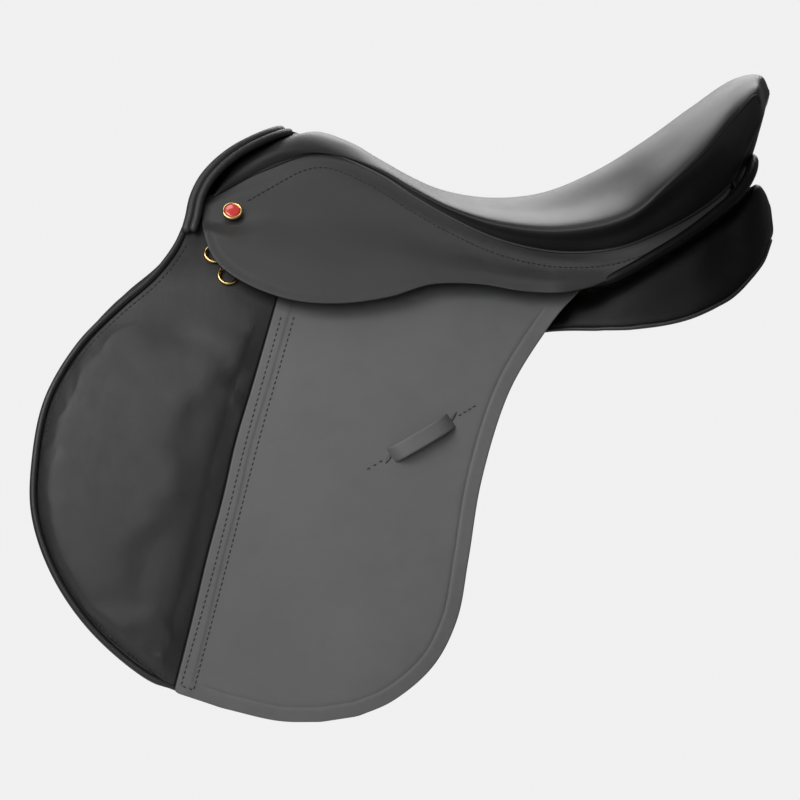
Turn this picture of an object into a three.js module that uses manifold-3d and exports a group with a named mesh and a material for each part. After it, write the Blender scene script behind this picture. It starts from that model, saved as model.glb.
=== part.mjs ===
// An English saddle of the forward-cut general purpose kind, in millimetres.
//
// The frame: +X runs from the pommel to the cantle, +Y to the off (right) side, +Z up. The origin is on the
// middle plane, at the roof of the gullet under the deepest point of the seat, where the saddle bears on the back.
//
// Each side's leather hangs on one curved surface, sideAt(x, z), and every layer is a sheet at its own distance
// from it: panel, sweat flap, girth webbing, billets, flap, knee pad and skirt. The near side is the off side
// mirrored. The seat and the tree under it are layers below one other surface, seatPoint(u, v).
import * as THREE from "three";
import { mergeVertices } from "three/addons/utils/BufferGeometryUtils.js";
import Module from "manifold-3d";

const wasm = await Module();
wasm.setup();

// ---------------------------------------------------------------- driving dimensions

const HALF_AT_BEARING = 100; // half width of the side surface at z = 0
const SPLAY = 120; // how much wider it would get far below
const SPLAY_FALL = 200; // the height over which that widening dies away
const WAIST_X = -120; // forward of here the side surface curves in a little
const FRONT_TUCK = 6;
const REAR_FLARE = 18; // extra half width under the cantle

const LEATHER = 3.5; // skirts and billets
const FLAP_THICK = 4;
const GAP = 0.35; // between pieces that touch on the real saddle

// distances of the layers from the side surface, measured across the saddle: [inner face, outer face]
const FLAP = [0, FLAP_THICK];
const BILLET = [-6.6, -6.6 + LEATHER];
const GIRTH_WEB = [-9.4, -7.1];
const SWEAT_FLAP = [-13.2, -10.2];
const CHEEK = [-6.6, -1.6]; // the tree's points, under the stirrup bars
const RAIL = [-15, -9.9]; // the tree's side rails
const NECK = [-13, -9.5]; // where the rails rise into the seat
const SKIRT_CLOSE = 4.9; // the skirt's inner face where it is nailed down over the flap
const SKIRT_STANDS_OFF = 19; // the skirt's inner face, over the stirrup bar and the flap

const FLAP_HINGE_Z = -38; // where the flap bends when it is lifted
const SKIRT_HINGE = [[-240, 31], [35, -11]]; // the skirt's bending line, in x and z

const BILLET_WIDTH = 25;
const BILLET_XS = { front: -112, middle: -79, rear: -46 };
const BILLET_TOP = -24;
const BILLET_TIP = -205;
const BILLET_HOLES = 5;

const BAR = { x: -160, z: 0, half: 31, height: 15, inner: -0.9, outer: 2.1, gap: 7, arm: 3.2, armHeight: 8 };
const CATCH = { pivot: 27, length: 9, radius: 4 }; // its pivot's place along the bar
const RIVETS = { front: -16, rear: 18 }; // their places along the bar
const PIN_R = 1.6;
const NAIL = { x: -207, z: 36, radius: 8.5, shank: 1.8, seat: 9.6 };
const DEES = { upper: [-223.5, 15], lower: [-211, 3] }; // where each ring's staple sits
const RING_R = 8;
const WIRE_R = 1.4;

const SEAT_STEPS = 17; // facets along the seat
const SEAT_SIDE_STEPS = 6; // facets from its middle to its lower edge

// depths of the seat's layers under its surface, [top, bottom], where the seat is at least SEAT_ROOM deep;
// where it is shallower, as at the twist, all of them are thinner in proportion
const SEAT_ROOM = 48;
const COVER = [0, 2.4];
const SEAT_FOAM = [3.8, 11];
const CROSS_WEB = [12.9, 14.2];
const LONG_WEB = [15, 16.3];
const TREE = [18.4, 26];
const UNDER_TREE = [26.8, 29.2];

// ---------------------------------------------------------------- materials

const leather = (colour, roughness) =>
  new THREE.MeshStandardMaterial({ color: colour, roughness, metalness: 0 });
const FLAP_LEATHER = leather(0x2e2e2e, 0.5);
const SOFT_LEATHER = leather(0x222222, 0.45);
const PANEL_LEATHER = leather(0x161616, 0.4);
const SEAT_LEATHER = leather(0x262626, 0.38);
const BRASS = new THREE.MeshStandardMaterial({ color: 0xc9a25a, roughness: 0.25, metalness: 1 });
const STEEL = new THREE.MeshStandardMaterial({ color: 0xb9bcc0, roughness: 0.3, metalness: 1 });
const SPRING_STEEL = new THREE.MeshStandardMaterial({ color: 0x4a4d52, roughness: 0.5, metalness: 1 });
const BEECH = new THREE.MeshStandardMaterial({ color: 0xb98a5a, roughness: 0.7, metalness: 0 });
const WEBBING = new THREE.MeshStandardMaterial({ color: 0xd9d2c0, roughness: 0.95, metalness: 0 });
const FOAM = new THREE.MeshStandardMaterial({ color: 0xe6dfc8, roughness: 0.95, metalness: 0 });

// ---------------------------------------------------------------- small tools

const smooth = (from, to, value) => THREE.MathUtils.smoothstep(value, from, to);
const vec = (x, y, z) => new THREE.Vector3(x, y, z);

/** A closed geometry as a solid that manifold-3d can join and cut. */
function solid(geometry) {
  const bare = new THREE.BufferGeometry();
  bare.setAttribute("position", geometry.getAttribute("position").clone());
  if (geometry.index) bare.setIndex(geometry.index.clone());
  const merged = mergeVertices(bare, 1e-4);
  const mesh = new wasm.Mesh({
    numProp: 3,
    vertProperties: new Float32Array(merged.attributes.position.array),
    triVerts: new Uint32Array(merged.index.array),
  });
  return new wasm.Manifold(mesh);
}

/** The geometry of a joined or cut solid. */
function geometryOf(made) {
  const mesh = made.simplify(0.02).getMesh();
  const positions = new Float32Array(mesh.numVert * 3);
  for (let i = 0; i < mesh.numVert; i++) {
    for (let k = 0; k < 3; k++) positions[3 * i + k] = mesh.vertProperties[i * mesh.numProp + k];
  }
  const geometry = new THREE.BufferGeometry();
  geometry.setAttribute("position", new THREE.BufferAttribute(positions, 3));
  geometry.setIndex(new THREE.BufferAttribute(new Uint32Array(mesh.triVerts), 1));
  return geometry;
}

/** A geometry from points and triangles, turned so that its faces point out. */
function closedGeometry(points, triangles) {
  let volume = 0;
  for (const [a, b, c] of triangles) {
    volume += points[a].dot(points[b].clone().cross(points[c]));
  }
  const order = volume < 0 ? [0, 2, 1] : [0, 1, 2];
  const geometry = new THREE.BufferGeometry().setFromPoints(points);
  geometry.setIndex(triangles.flatMap((t) => order.map((k) => t[k])));
  return geometry;
}

/** The body between two grids of points that lie one over the other, for the cells that keep(i, j) allows. */
function between(outer, inner, keep = () => true) {
  const rows = outer.length;
  const columns = outer[0].length;
  const points = [...outer.flat(), ...inner.flat()];
  const at = (i, j, side) => side * rows * columns + i * columns + j;
  const kept = (i, j) => i >= 0 && j >= 0 && i < rows - 1 && j < columns - 1 && keep(i, j);
  const triangles = [];
  const quad = (a, b, c, d) => triangles.push([a, b, c], [a, c, d]);
  const face = (a, b, c, d, j) => (j < (columns - 1) / 2 ? quad(a, b, c, d) : quad(b, c, d, a));
  for (let i = 0; i < rows - 1; i++) {
    for (let j = 0; j < columns - 1; j++) {
      if (!kept(i, j)) continue;
      face(at(i, j, 0), at(i + 1, j, 0), at(i + 1, j + 1, 0), at(i, j + 1, 0), j);
      face(at(i, j + 1, 1), at(i + 1, j + 1, 1), at(i + 1, j, 1), at(i, j, 1), columns - 2 - j);
      if (!kept(i, j - 1)) quad(at(i, j, 0), at(i, j, 1), at(i + 1, j, 1), at(i + 1, j, 0));
      if (!kept(i, j + 1)) quad(at(i + 1, j + 1, 0), at(i + 1, j + 1, 1), at(i, j + 1, 1), at(i, j + 1, 0));
      if (!kept(i - 1, j)) quad(at(i, j + 1, 0), at(i, j + 1, 1), at(i, j, 1), at(i, j, 0));
      if (!kept(i + 1, j)) quad(at(i + 1, j, 0), at(i + 1, j, 1), at(i + 1, j + 1, 1), at(i + 1, j + 1, 0));
    }
  }
  return closedGeometry(points, triangles);
}

/** The body through closed rings of points, with a fan over each end. */
function loft(rings) {
  const count = rings[0].length;
  const points = rings.flat();
  const triangles = [];
  for (let r = 0; r < rings.length - 1; r++) {
    for (let k = 0; k < count; k++) {
      const next = (k + 1) % count;
      const [a, b, c, d] = [r * count + k, r * count + next, (r + 1) * count + next, (r + 1) * count + k];
      triangles.push([a, b, c], [a, c, d]);
    }
  }
  for (const [ring, turn] of [[0, true], [rings.length - 1, false]]) {
    const middle = points.length;
    points.push(rings[ring].reduce((sum, p) => sum.add(p), vec(0, 0, 0)).divideScalar(count));
    for (let k = 0; k < count; k++) {
      const [a, b] = [ring * count + k, ring * count + ((k + 1) % count)];
      triangles.push(turn ? [middle, b, a] : [middle, a, b]);
    }
  }
  return closedGeometry(points, triangles);
}

/** A shape in the X-Z plane from runs of points; each run is a smooth curve, and runs meet at corners. */
function outline(...runs) {
  const shape = new THREE.Shape();
  runs.forEach((run, n) => {
    const points = run.map(([x, z]) => new THREE.Vector2(x, z));
    if (n === 0) shape.moveTo(points[0].x, points[0].y);
    else shape.lineTo(points[0].x, points[0].y);
    if (points.length > 2) shape.splineThru(points.slice(1));
    else if (points.length === 2) shape.lineTo(points[1].x, points[1].y);
  });
  shape.closePath();
  return shape;
}

const polygon = (points) => outline(...points.map((point) => [point]));
const rectangle = (x0, x1, z0, z1) => polygon([[x0, z0], [x1, z0], [x1, z1], [x0, z1]]);

/** A shape in the X-Z plane carried across the saddle from y = from to y = to. */
function prism(shape, from, to, curveSegments = 2) {
  const geometry = new THREE.ExtrudeGeometry(shape, {
    depth: to - from,
    bevelEnabled: false,
    curveSegments,
    steps: 1,
  });
  geometry.rotateX(Math.PI / 2);
  geometry.translate(0, to, 0);
  return geometry;
}

/** A bar of the given section along a curve. */
function sweep(section, points, steps, curveSegments = 3) {
  return new THREE.ExtrudeGeometry(section, {
    extrudePath: new THREE.CatmullRomCurve3(points),
    steps,
    curveSegments,
    bevelEnabled: false,
  });
}

const roundSection = (radius) => new THREE.Shape().absarc(0, 0, radius, 0, 2 * Math.PI);

/** A closed ring of round wire along a closed curve. */
function wireRing(points, radius, steps = 16, sides = 6) {
  const path = new THREE.CatmullRomCurve3(points, true);
  const frames = path.computeFrenetFrames(steps, true);
  const rim = [];
  const triangles = [];
  for (let i = 0; i < steps; i++) {
    const centre = path.getPointAt(i / steps);
    for (let k = 0; k < sides; k++) {
      const turn = (2 * Math.PI * k) / sides;
      const across = frames.normals[i].clone().multiplyScalar(radius * Math.cos(turn));
      rim.push(centre.clone().add(across).addScaledVector(frames.binormals[i], radius * Math.sin(turn)));
      const [a, b] = [i * sides + k, i * sides + ((k + 1) % sides)];
      const [c, d] = [((i + 1) % steps) * sides + ((k + 1) % sides), ((i + 1) % steps) * sides + k];
      triangles.push([a, b, c], [a, c, d]);
    }
  }
  return closedGeometry(rim, triangles);
}

/** A round pin or rivet about +Y, from its profile of [radius, height] corners. */
function turned(profile, sides = 10) {
  const points = profile.map(([r, y]) => new THREE.Vector2(r, y));
  return new THREE.LatheGeometry(points, sides);
}

const shank = (radius, from, to) => turned([[0, from], [radius, from], [radius, to], [0, to]]);

// ---------------------------------------------------------------- the side surface

/** How far from the middle plane the side surface lies. */
function sideAt(x, z) {
  const splay = HALF_AT_BEARING + SPLAY * (1 - Math.exp(z / SPLAY_FALL));
  const tuck = x < WAIST_X ? FRONT_TUCK * ((x - WAIST_X) / 240) ** 2 : 0;
  return splay - tuck + REAR_FLARE * smooth(20, 150, x);
}

/** How far the side surface leans from upright, in radians. */
const leanAt = (z) => Math.atan((SPLAY / SPLAY_FALL) * Math.exp(z / SPLAY_FALL));

// every sheet is faceted on the same lines, so layers never cut into each other
const GRID_XS = [-400, -330, -270, -210, -150, -90, -30, 15, 50, 85, 120, 155, 190, 230];
const GRID_ZS = [-350, -310, -270, -230, -195, -160, -125, -95, -65, -38, -12, 12, 36, 60, 95];

const SKIRT_ZS = Array.from({ length: 15 }, (_, i) => -32 + 9 * i);

function covering(lines, low, high) {
  const first = Math.max(0, lines.findIndex((value) => value > low) - 1);
  const last = lines.findIndex((value) => value >= high);
  return lines.slice(first, (last < 0 ? lines.length - 1 : last) + 1);
}

/** A sheet cut to a shape, between two distances from the side surface. Each distance is a number or f(x, z). */
function sheet(shape, from, to, zs = GRID_ZS) {
  const distance = (value, x, z) => (typeof value === "function" ? value(x, z) : value);
  const box = new THREE.Box2().setFromPoints(shape.getPoints(4));
  const xLines = covering(GRID_XS, box.min.x, box.max.x);
  const zLines = covering(zs, box.min.y, box.max.y);
  const face = (value) =>
    xLines.map((x) => zLines.map((z) => vec(x, sideAt(x, z) + distance(value, x, z), z)));
  const slab = solid(between(face(to), face(from)));
  return slab.intersect(solid(prism(shape, -20, 300)));
}

/** The turn that carries a piece made flat, with +Y as its outer face, onto the side surface at (x, z). */
function onSide(x, z, out = 0) {
  const lean = leanAt(z);
  const group = new THREE.Matrix4().makeRotationX(lean);
  const place = vec(x, sideAt(x, z), z).addScaledVector(vec(0, Math.cos(lean), Math.sin(lean)), out);
  return group.setPosition(place);
}

const placed = (geometry, matrix) => solid(geometry.clone().applyMatrix4(matrix));

// ---------------------------------------------------------------- the seat surface

// Sections of the seat from pommel to cantle: the middle of the top [x, z], the crest of the side [x, y, z],
// the lower edge [x, z] on the seam with the skirt, and how much the top bulges between middle and crest.
const SEAT_SECTIONS = [
  { middle: [-153, 101], crest: [-200, 45, 79], lower: [-223, 52], bulge: 4, tuck: 0 },
  { middle: [-139, 103], crest: [-162, 42, 89], lower: [-181, 72], bulge: 5, tuck: 0 },
  { middle: [-112, 94], crest: [-123, 45, 84], lower: [-137, 85], bulge: 5, tuck: 0 },
  { middle: [-90, 81], crest: [-92, 55, 72], lower: [-95, 70], bulge: 4, tuck: 0 },
  { middle: [-65, 67], crest: [-66, 68, 57], lower: [-67, 52], bulge: 4, tuck: 0 },
  { middle: [-38, 56], crest: [-37, 82, 42], lower: [-36, 34], bulge: 3, tuck: 0 },
  { middle: [0, 50], crest: [0, 97, 30], lower: [2, 17], bulge: 3, tuck: 0 },
  { middle: [42, 54], crest: [48, 113, 26], lower: [47, 8], bulge: 2, tuck: 0 },
  { middle: [86, 72], crest: [96, 127, 37], lower: [89, 11], bulge: 3, tuck: -4 },
  { middle: [127, 97], crest: [127, 130, 62], lower: [118, 21], bulge: 6, tuck: -6 },
  { middle: [168, 126], crest: [156, 119, 87], lower: [144, 33], bulge: 8, tuck: -6 },
  { middle: [202, 145], crest: [183, 91, 113], lower: [163, 44], bulge: 7, tuck: -4 },
  { middle: [221, 146], crest: [203, 64, 125], lower: [174, 52], bulge: 4, tuck: -2 },
  { middle: [229, 135], crest: [210, 50, 110], lower: [181, 59], bulge: 3, tuck: 0 },
];
const SEAT_EDGE_OUT = 3; // the seat's lower edge, from the side surface

const SECTION_CURVES = (() => {
  const lists = [[], [], [], [], []];
  for (const { middle, crest, lower, bulge, tuck } of SEAT_SECTIONS) {
    const top = vec(middle[0], 0, middle[1]);
    const edge = vec(...crest);
    const foot = vec(lower[0], sideAt(...lower) + SEAT_EDGE_OUT, lower[1]);
    lists[0].push(top);
    lists[1].push(top.clone().lerp(edge, 0.55).add(vec(0, 0, bulge)));
    lists[2].push(edge);
    lists[3].push(edge.clone().lerp(foot, 0.5).add(vec(0, tuck, 0)));
    lists[4].push(foot);
  }
  return lists.map((points) => new THREE.CatmullRomCurve3(points));
})();

/** A point of the seat: u from 0 at the pommel to 1 at the cantle, v from 0 in the middle to 1 at its foot. */
function seatPoint(u, v) {
  const section = SECTION_CURVES.map((curve) => curve.getPoint(u));
  const mirrored = section.slice(1, 3).reverse().map((p) => p.clone().multiply(vec(1, -1, 1)));
  const whole = new THREE.CatmullRomCurve3([...mirrored, ...section]);
  const point = whole.getPoint((2 + 4 * Math.abs(v)) / 6);
  return v < 0 ? point.multiply(vec(1, -1, 1)) : point;
}

/** The point on the middle plane that the layers under (u, v) close in on. */
function seatHeart(u) {
  const top = seatPoint(u, 0);
  const foot = seatPoint(u, 1);
  return vec(0.35 * top.x + 0.65 * foot.x, 0, foot.z - 12);
}

const seatUs = Array.from({ length: SEAT_STEPS + 1 }, (_, i) => i / SEAT_STEPS);
const seatVs = Array.from({ length: 2 * SEAT_SIDE_STEPS + 1 }, (_, j) => j / SEAT_SIDE_STEPS - 1);
const seatFrame = seatUs.map((u) => {
  const heart = seatHeart(u);
  const room = Math.min(1, (seatPoint(u, 0).z - heart.z) / SEAT_ROOM);
  return seatVs.map((v) => ({ at: seatPoint(u, v), out: seatPoint(u, v).sub(heart).setLength(room) }));
});
const seatFoot = seatFrame.map((row) => row[row.length - 1].at);

/** The seat's grid, this far under its surface. */
const under = (depth) =>
  seatFrame.map((row) => row.map(({ at, out }) => at.clone().addScaledVector(out, -depth)));

/** A layer of the seat between two depths, for the cells whose middle (u, v) is allowed. */
function seatLayer([top, bottom], allows = () => true) {
  const keep = (i, j) => allows((i + 0.5) / SEAT_STEPS, (j + 0.5) / SEAT_SIDE_STEPS - 1);
  return between(under(top), under(bottom), keep);
}

/** The height of the seat's lower edge at x. */
function seamAt(x) {
  const last = seatFoot.findIndex((p) => p.x >= x);
  if (last < 0) return seatFoot[seatFoot.length - 1].z;
  if (last === 0) return seatFoot[0].z;
  const [a, b] = [seatFoot[last - 1], seatFoot[last]];
  return THREE.MathUtils.mapLinear(x, a.x, b.x, a.z, b.z);
}

const seam = (drop, x0, x1) =>
  [x0, ...seatFoot.map((p) => p.x).filter((x) => x > x0 && x < x1), x1].map((x) => [x, seamAt(x) - drop]);

/** The height of the skirt's bending line at x. */
function hingeAt(x) {
  const [[x0, z0], [x1, z1]] = SKIRT_HINGE;
  return THREE.MathUtils.mapLinear(x, x0, x1, z0, z1);
}

/** The skirt's inner face: against the seat along the seam, standing off below, close again along its tail. */
function skirtInner(x, z) {
  const down = (seamAt(x) - z) / (seamAt(x) - hingeAt(Math.min(x, SKIRT_HINGE[1][0])));
  const close = 0.8 - 0.2 * smooth(-212, -180, x);
  const over = 0.8 + (SKIRT_CLOSE - 0.8) * smooth(0, 0.3, down);
  const off = (SKIRT_STANDS_OFF - SKIRT_CLOSE) * smooth(close, 1.2, down);
  return THREE.MathUtils.lerp(over + off, 1.2, smooth(35, 100, x));
}

// ---------------------------------------------------------------- tree and seat

/** The tree: head, rails and cantle round the opening that the webs span, with a cheek for each stirrup bar. */
function makeTree(holes) {
  const ring = seatLayer(TREE, (u, v) => !(u > 0.26 && u < 0.74 && Math.abs(v) < 0.4));
  const rail = sheet(polygon([...seam(7, -196, 2), [2, 6], [-196, 6]]), ...RAIL);
  const neck = sheet(polygon([...seam(5, -176, -25), ...seam(11, -176, -25).reverse()]), ...NECK);
  const point = outline([[-219, 34], [-219, 12], [-200, -42]], [[-134, -42]], [[-124, -10]], [[-124, 34]]);
  const cheek = sheet(point, ...CHEEK);
  const block = sheet(rectangle(-217, -126, 8, 46), RAIL[0], CHEEK[1]);
  const side = [neck, cheek, block].reduce((whole, part) => whole.add(part), rail);
  const drilled = holes.reduce((whole, hole) => whole.subtract(hole), side);
  return geometryOf(solid(ring).add(drilled).add(drilled.mirror([0, 1, 0])));
}

// the front arch's roll of leather, from the skirt's corner up to the middle
const POMMEL_LINE = [
  [-240.5, 83, 36], [-237.5, 75, 50], [-231, 66, 64], [-221, 57, 76], [-206, 45, 88], [-189, 32, 97],
  [-175, 16, 102.5], [-169, 0, 104],
];

/** The middle line of that roll, or of the piping that runs this far behind it. */
function pommelCurve(back = 0) {
  const half = POMMEL_LINE.map((p) => vec(...p));
  const curve = new THREE.CatmullRomCurve3(half);
  const side = half.map((p, i) => {
    const along = i === half.length - 1 ? vec(0, -1, 0) : curve.getTangent(i / (half.length - 1));
    const up = p.clone().sub(vec(-185, 0, 40));
    return p.clone().addScaledVector(up.cross(along).normalize(), back);
  });
  const far = side.slice(0, -1).map((p) => p.clone().multiply(vec(1, -1, 1))).reverse();
  return [...side, ...far];
}

/** The leather over the front of the tree's head, closing the ends of the seat's layers. */
function makeHeadFacing() {
  const row = seatFrame[0];
  const face = (ahead) =>
    [0.5, 10, 19, 28].map((depth) =>
      row.map(({ at, out }) => at.clone().addScaledVector(out, -depth).add(vec(-ahead, 0, 0)))
    );
  return between(face(2.8), face(1.2));
}

const rimVs = Array.from({ length: 13 }, (_, j) => 0.95 * (j / 6 - 1));

/** A point of the cantle's rim, this deep under the surface and this far behind it. */
function rimPoint(v, depth, behind) {
  const at = seatPoint(1, v);
  const out = at.clone().sub(seatHeart(1)).normalize();
  return at.addScaledVector(out, -depth).add(vec(behind, 0, 0));
}

/** The leather that closes the back of the cantle, from under its piping down to the panel. */
function makeCantleFacing() {
  const face = (behind) =>
    [0, 0.3, 0.6, 1].map((t) =>
      rimVs.map((v) => {
        const rim = rimPoint(v, 4.9, behind);
        const foot = vec(183 + 14 * (1 - Math.abs(rim.y) / 80) + behind, rim.y, 54);
        return rim.lerp(foot, t).add(vec(2 * Math.sin(Math.PI * t), 0, 0));
      })
    );
  return between(face(2.4), face(0.6));
}

// ---------------------------------------------------------------- one side's soft pieces

// Sections of the panel from front to back: the outer top corner [y, z], the outer bottom corner [y, z], and
// the height of the inner wall, along the gullet, at its top and bottom.
const hung = (x, out, top, bottom) => [[sideAt(x, top) + out, top], [sideAt(x, bottom) + out, bottom]];
const PANEL_SECTIONS = [
  { x: -216, corners: hung(-216, -26, -18, -40), inner: [-6, -24] },
  { x: -209, corners: hung(-209, -17, -8, -58), inner: [0, -26] },
  { x: -185, corners: hung(-185, -16, -3, -66), inner: [2, -24] },
  { x: -115, corners: hung(-115, -16, -3, -66), inner: [2, -20] },
  { x: -45, corners: hung(-45, -16, -3, -62), inner: [2, -18] },
  { x: 5, corners: hung(5, -16, -7, -58), inner: [2, -18] },
  { x: 40, corners: hung(40, -15.5, -23, -54), inner: [2, -18] },
  { x: 66, corners: hung(66, -7, -30, -53), inner: [4, -18] },
  { x: 96, corners: hung(96, -2, -17.5, -52), inner: [8, -18] },
  { x: 134, corners: hung(134, 0, 5, -46), inner: [16, -15] },
  { x: 156, corners: hung(156, 2, 18, -38), inner: [24, -11] },
  { x: 178, corners: [[92, 32], [131, -26]], inner: [36, -6] },
  { x: 193, corners: [[82, 46], [116, -13]], inner: [44, 2] },
  { x: 205, corners: [[68, 58], [98, 0]], inner: [56, 10] },
  { x: 213, corners: [[58, 50], [82, 12]], inner: [50, 16] },
  { x: 217, corners: [[52, 40], [66, 22]], inner: [40, 24] },
];
const GULLET_HALF = 33;

function makePanel() {
  const rings = PANEL_SECTIONS.map(({ x, corners: [top, bottom], inner: [high, low] }) => {
    const middle = (a, b, out, up) => [(a[0] + b[0]) / 2 + out, (a[1] + b[1]) / 2 + up];
    const inTop = [GULLET_HALF, high];
    const inBottom = [GULLET_HALF + 4, low];
    const corners = [inTop, middle(inTop, top, 0, 2), top, middle(top, bottom, 1.2, 0), bottom];
    corners.push(middle(bottom, inBottom, 0, -3), inBottom, middle(inBottom, inTop, -1, 0));
    const curve = new THREE.CatmullRomCurve3(corners.map(([y, z]) => vec(x, y, z)), true, "catmullrom", 0.4);
    return curve.getPoints(16).slice(0, 16);
  });
  return loft(rings);
}

const TOP_ROLL = [
  [66, 121, -23], [81, 120, -18], [99, 119, -8], [118, 117, 3], [137, 113, 14], [155, 107, 26], [171, 101, 38],
  [184, 94, 48], [193, 86, 58], [200, 76, 67], [206, 64, 75], [209.5, 54, 80], [211, 43, 82],
];

const FLAP_FRONT = [
  [-249, 15], [-268, -8], [-297, -30], [-326, -59], [-350, -100], [-359, -145], [-359, -185], [-344, -229],
  [-315, -271], [-274, -306], [-217, -328], [-174, -338],
];
const FLAP_REAR = [
  [-143, -339], [-115, -335], [-89, -324], [-58, -298], [-40, -264], [-31, -220], [-20, -161], [3, -95],
  [32, -51], [45, -35], [60, -20],
];

/** The whole flap's outline, from the front corner under the pommel round to the top behind. */
function flapOutline() {
  const shares = [
    [35, 0.5], [0, 0.5], [-30, 0.5], [-70, 0.57], [-110, 0.52], [-150, 0.47], [-190, 0.42], [-221, 0.4],
  ];
  const top = shares.map(([x, share]) => [x, THREE.MathUtils.lerp(seamAt(x), hingeAt(x), share)]);
  return outline([[-245, 24], ...FLAP_FRONT], FLAP_REAR, [[61, -10]], ...top.map((p) => [p]), [[-230, 28]]);
}

/** The sweat flap lies under the billets, a little inside the flap all round. */
function sweatFlapOutline() {
  return outline([
    [-219, -4], [-285, -44], [-330, -100], [-342, -165], [-328, -222], [-285, -275], [-226, -306], [-158, -320],
    [-110, -308], [-64, -264], [-44, -206], [-30, -141], [-8, -88], [26, -39], [38, -4],
  ]);
}

const SKIRT_LOWER = [
  [173, 46], [161, 36], [140, 22], [120, 12], [99, 1], [75, -14], [44, -21], [13, -20], [-18, -15], [-56, -15],
  [-87, -24], [-126, -29], [-164, -26], [-201, -12], [-221, 5], [-228.5, 32],
];

const skirtOutline = () => outline(...seam(1.6, -221, 178).map((p) => [p]), SKIRT_LOWER, [[-228, 44]]);

const above = (z) => solid(prism(rectangle(-420, 260, z, 200), -20, 300));
const below = (z) => solid(prism(rectangle(-420, 260, -400, z), -20, 300));

/** A cutting body under the skirt's bending line, this far down from it and in from its rear end. */
function underBend(inset) {
  const [[x0], [x1, z1]] = SKIRT_HINGE;
  const [front, rear] = [x0 - 20, x1 - inset];
  const top = [[front, hingeAt(front) - inset], [rear, hingeAt(rear) - inset]];
  return solid(prism(polygon([...top, [rear + 1.5, z1 - 40], [front, z1 - 40]]), -20, 300));
}

// the firm leather's front edge, which covers the back of the knee pad, and the pad's own front edge
const PAD_BACK = [[-170, -14], [-192, -89], [-205, -131], [-215, -173], [-227, -217], [-238, -262], [-252, -316]];
const PAD_FRONT = [
  [-270, -14], [-294, -34], [-321, -62], [-344, -102], [-353, -145], [-353, -185], [-338, -227], [-310, -267],
  [-270, -301], [-254, -316],
];

/** Where a line of points, running downwards, is at height z. */
function xAt(line, z) {
  const next = Math.max(1, line.findIndex(([, height]) => height <= z));
  const [a, b] = [line[next - 1], line[next]];
  return THREE.MathUtils.mapLinear(z, a[1], b[1], a[0], b[0]);
}

/** The knee pad between two heights: a cushion on the flap, thickest in its middle. */
function makePad(top, bottom, rows) {
  const acrossPad = [0, 0.1, 0.25, 0.45, 0.65, 0.85, 1];
  const zs = Array.from({ length: rows + 1 }, (_, i) => THREE.MathUtils.lerp(top, bottom, i / rows));
  const face = (filled) =>
    zs.map((z) =>
      acrossPad.map((t) => {
        const x = THREE.MathUtils.lerp(xAt(PAD_FRONT, z), xAt(PAD_BACK, z), t);
        const across = Math.sin(Math.PI * (0.08 + 0.92 * t)) ** 0.6;
        const full = (1 - smooth(-130, 10, z)) * smooth(-320, -254, z) * across;
        return vec(x, sideAt(x, z) + FLAP_THICK + GAP + filled * (2.6 + 10.5 * full), z);
      })
    );
  return between(face(1), face(0));
}

function makeBillet(x) {
  const [front, rear] = [x - BILLET_WIDTH / 2, x + BILLET_WIDTH / 2];
  const tip = [[front, BILLET_TIP + 14], [x - 4, BILLET_TIP], [x + 4, BILLET_TIP], [rear, BILLET_TIP + 14]];
  const shape = polygon([[front, BILLET_TOP], ...tip, [rear, BILLET_TOP]]);
  for (let hole = 0; hole < BILLET_HOLES; hole++) {
    shape.holes.push(new THREE.Path().absarc(x, BILLET_TIP + 22 + 24 * hole, 2.2, 0, 2 * Math.PI, true));
  }
  return sheet(shape, ...BILLET);
}

/** The keeper on the flap for the billets' and girth's spare length: a strap with its middle standing off. */
function makeKeeper() {
  const corners = { upper: [[-93, -138], [-45, -111]], lower: [[-86, -148], [-38, -121]] };
  const rise = [[0, 0], [0.07, 0], [0.16, 5], [0.3, 6.2], [0.5, 6.6], [0.7, 6.2], [0.84, 5], [0.93, 0], [1, 0]];
  const face = (thick) =>
    rise.map(([t, height]) =>
      [corners.upper, corners.lower].map(([from, to]) => {
        const x = THREE.MathUtils.lerp(from[0], to[0], t);
        const z = THREE.MathUtils.lerp(from[1], to[1], t);
        return vec(x, sideAt(x, z) + FLAP_THICK + GAP + height + thick, z);
      })
    );
  return between(face(2.4), face(0));
}

// ---------------------------------------------------------------- one side's metal

const box = (x0, x1, y0, y1, z0, z1) => {
  const geometry = new THREE.BoxGeometry(x1 - x0, y1 - y0, z1 - z0);
  return geometry.translate((x0 + x1) / 2, (y0 + y1) / 2, (z0 + z1) / 2);
};
const onBar = onSide(BAR.x, BAR.z);
const ARM_IN = BAR.outer + BAR.gap;
const ARM_OUT = ARM_IN + BAR.arm;
const CATCH_IN = ARM_IN + 1.4; // the arm is thinned behind the catch

/** A pin's hole through whatever it fastens, along the bar at x. */
const barHole = (x) => placed(shank(PIN_R + 0.3, -30, 30).translate(x, 0, 0), onBar);

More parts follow.
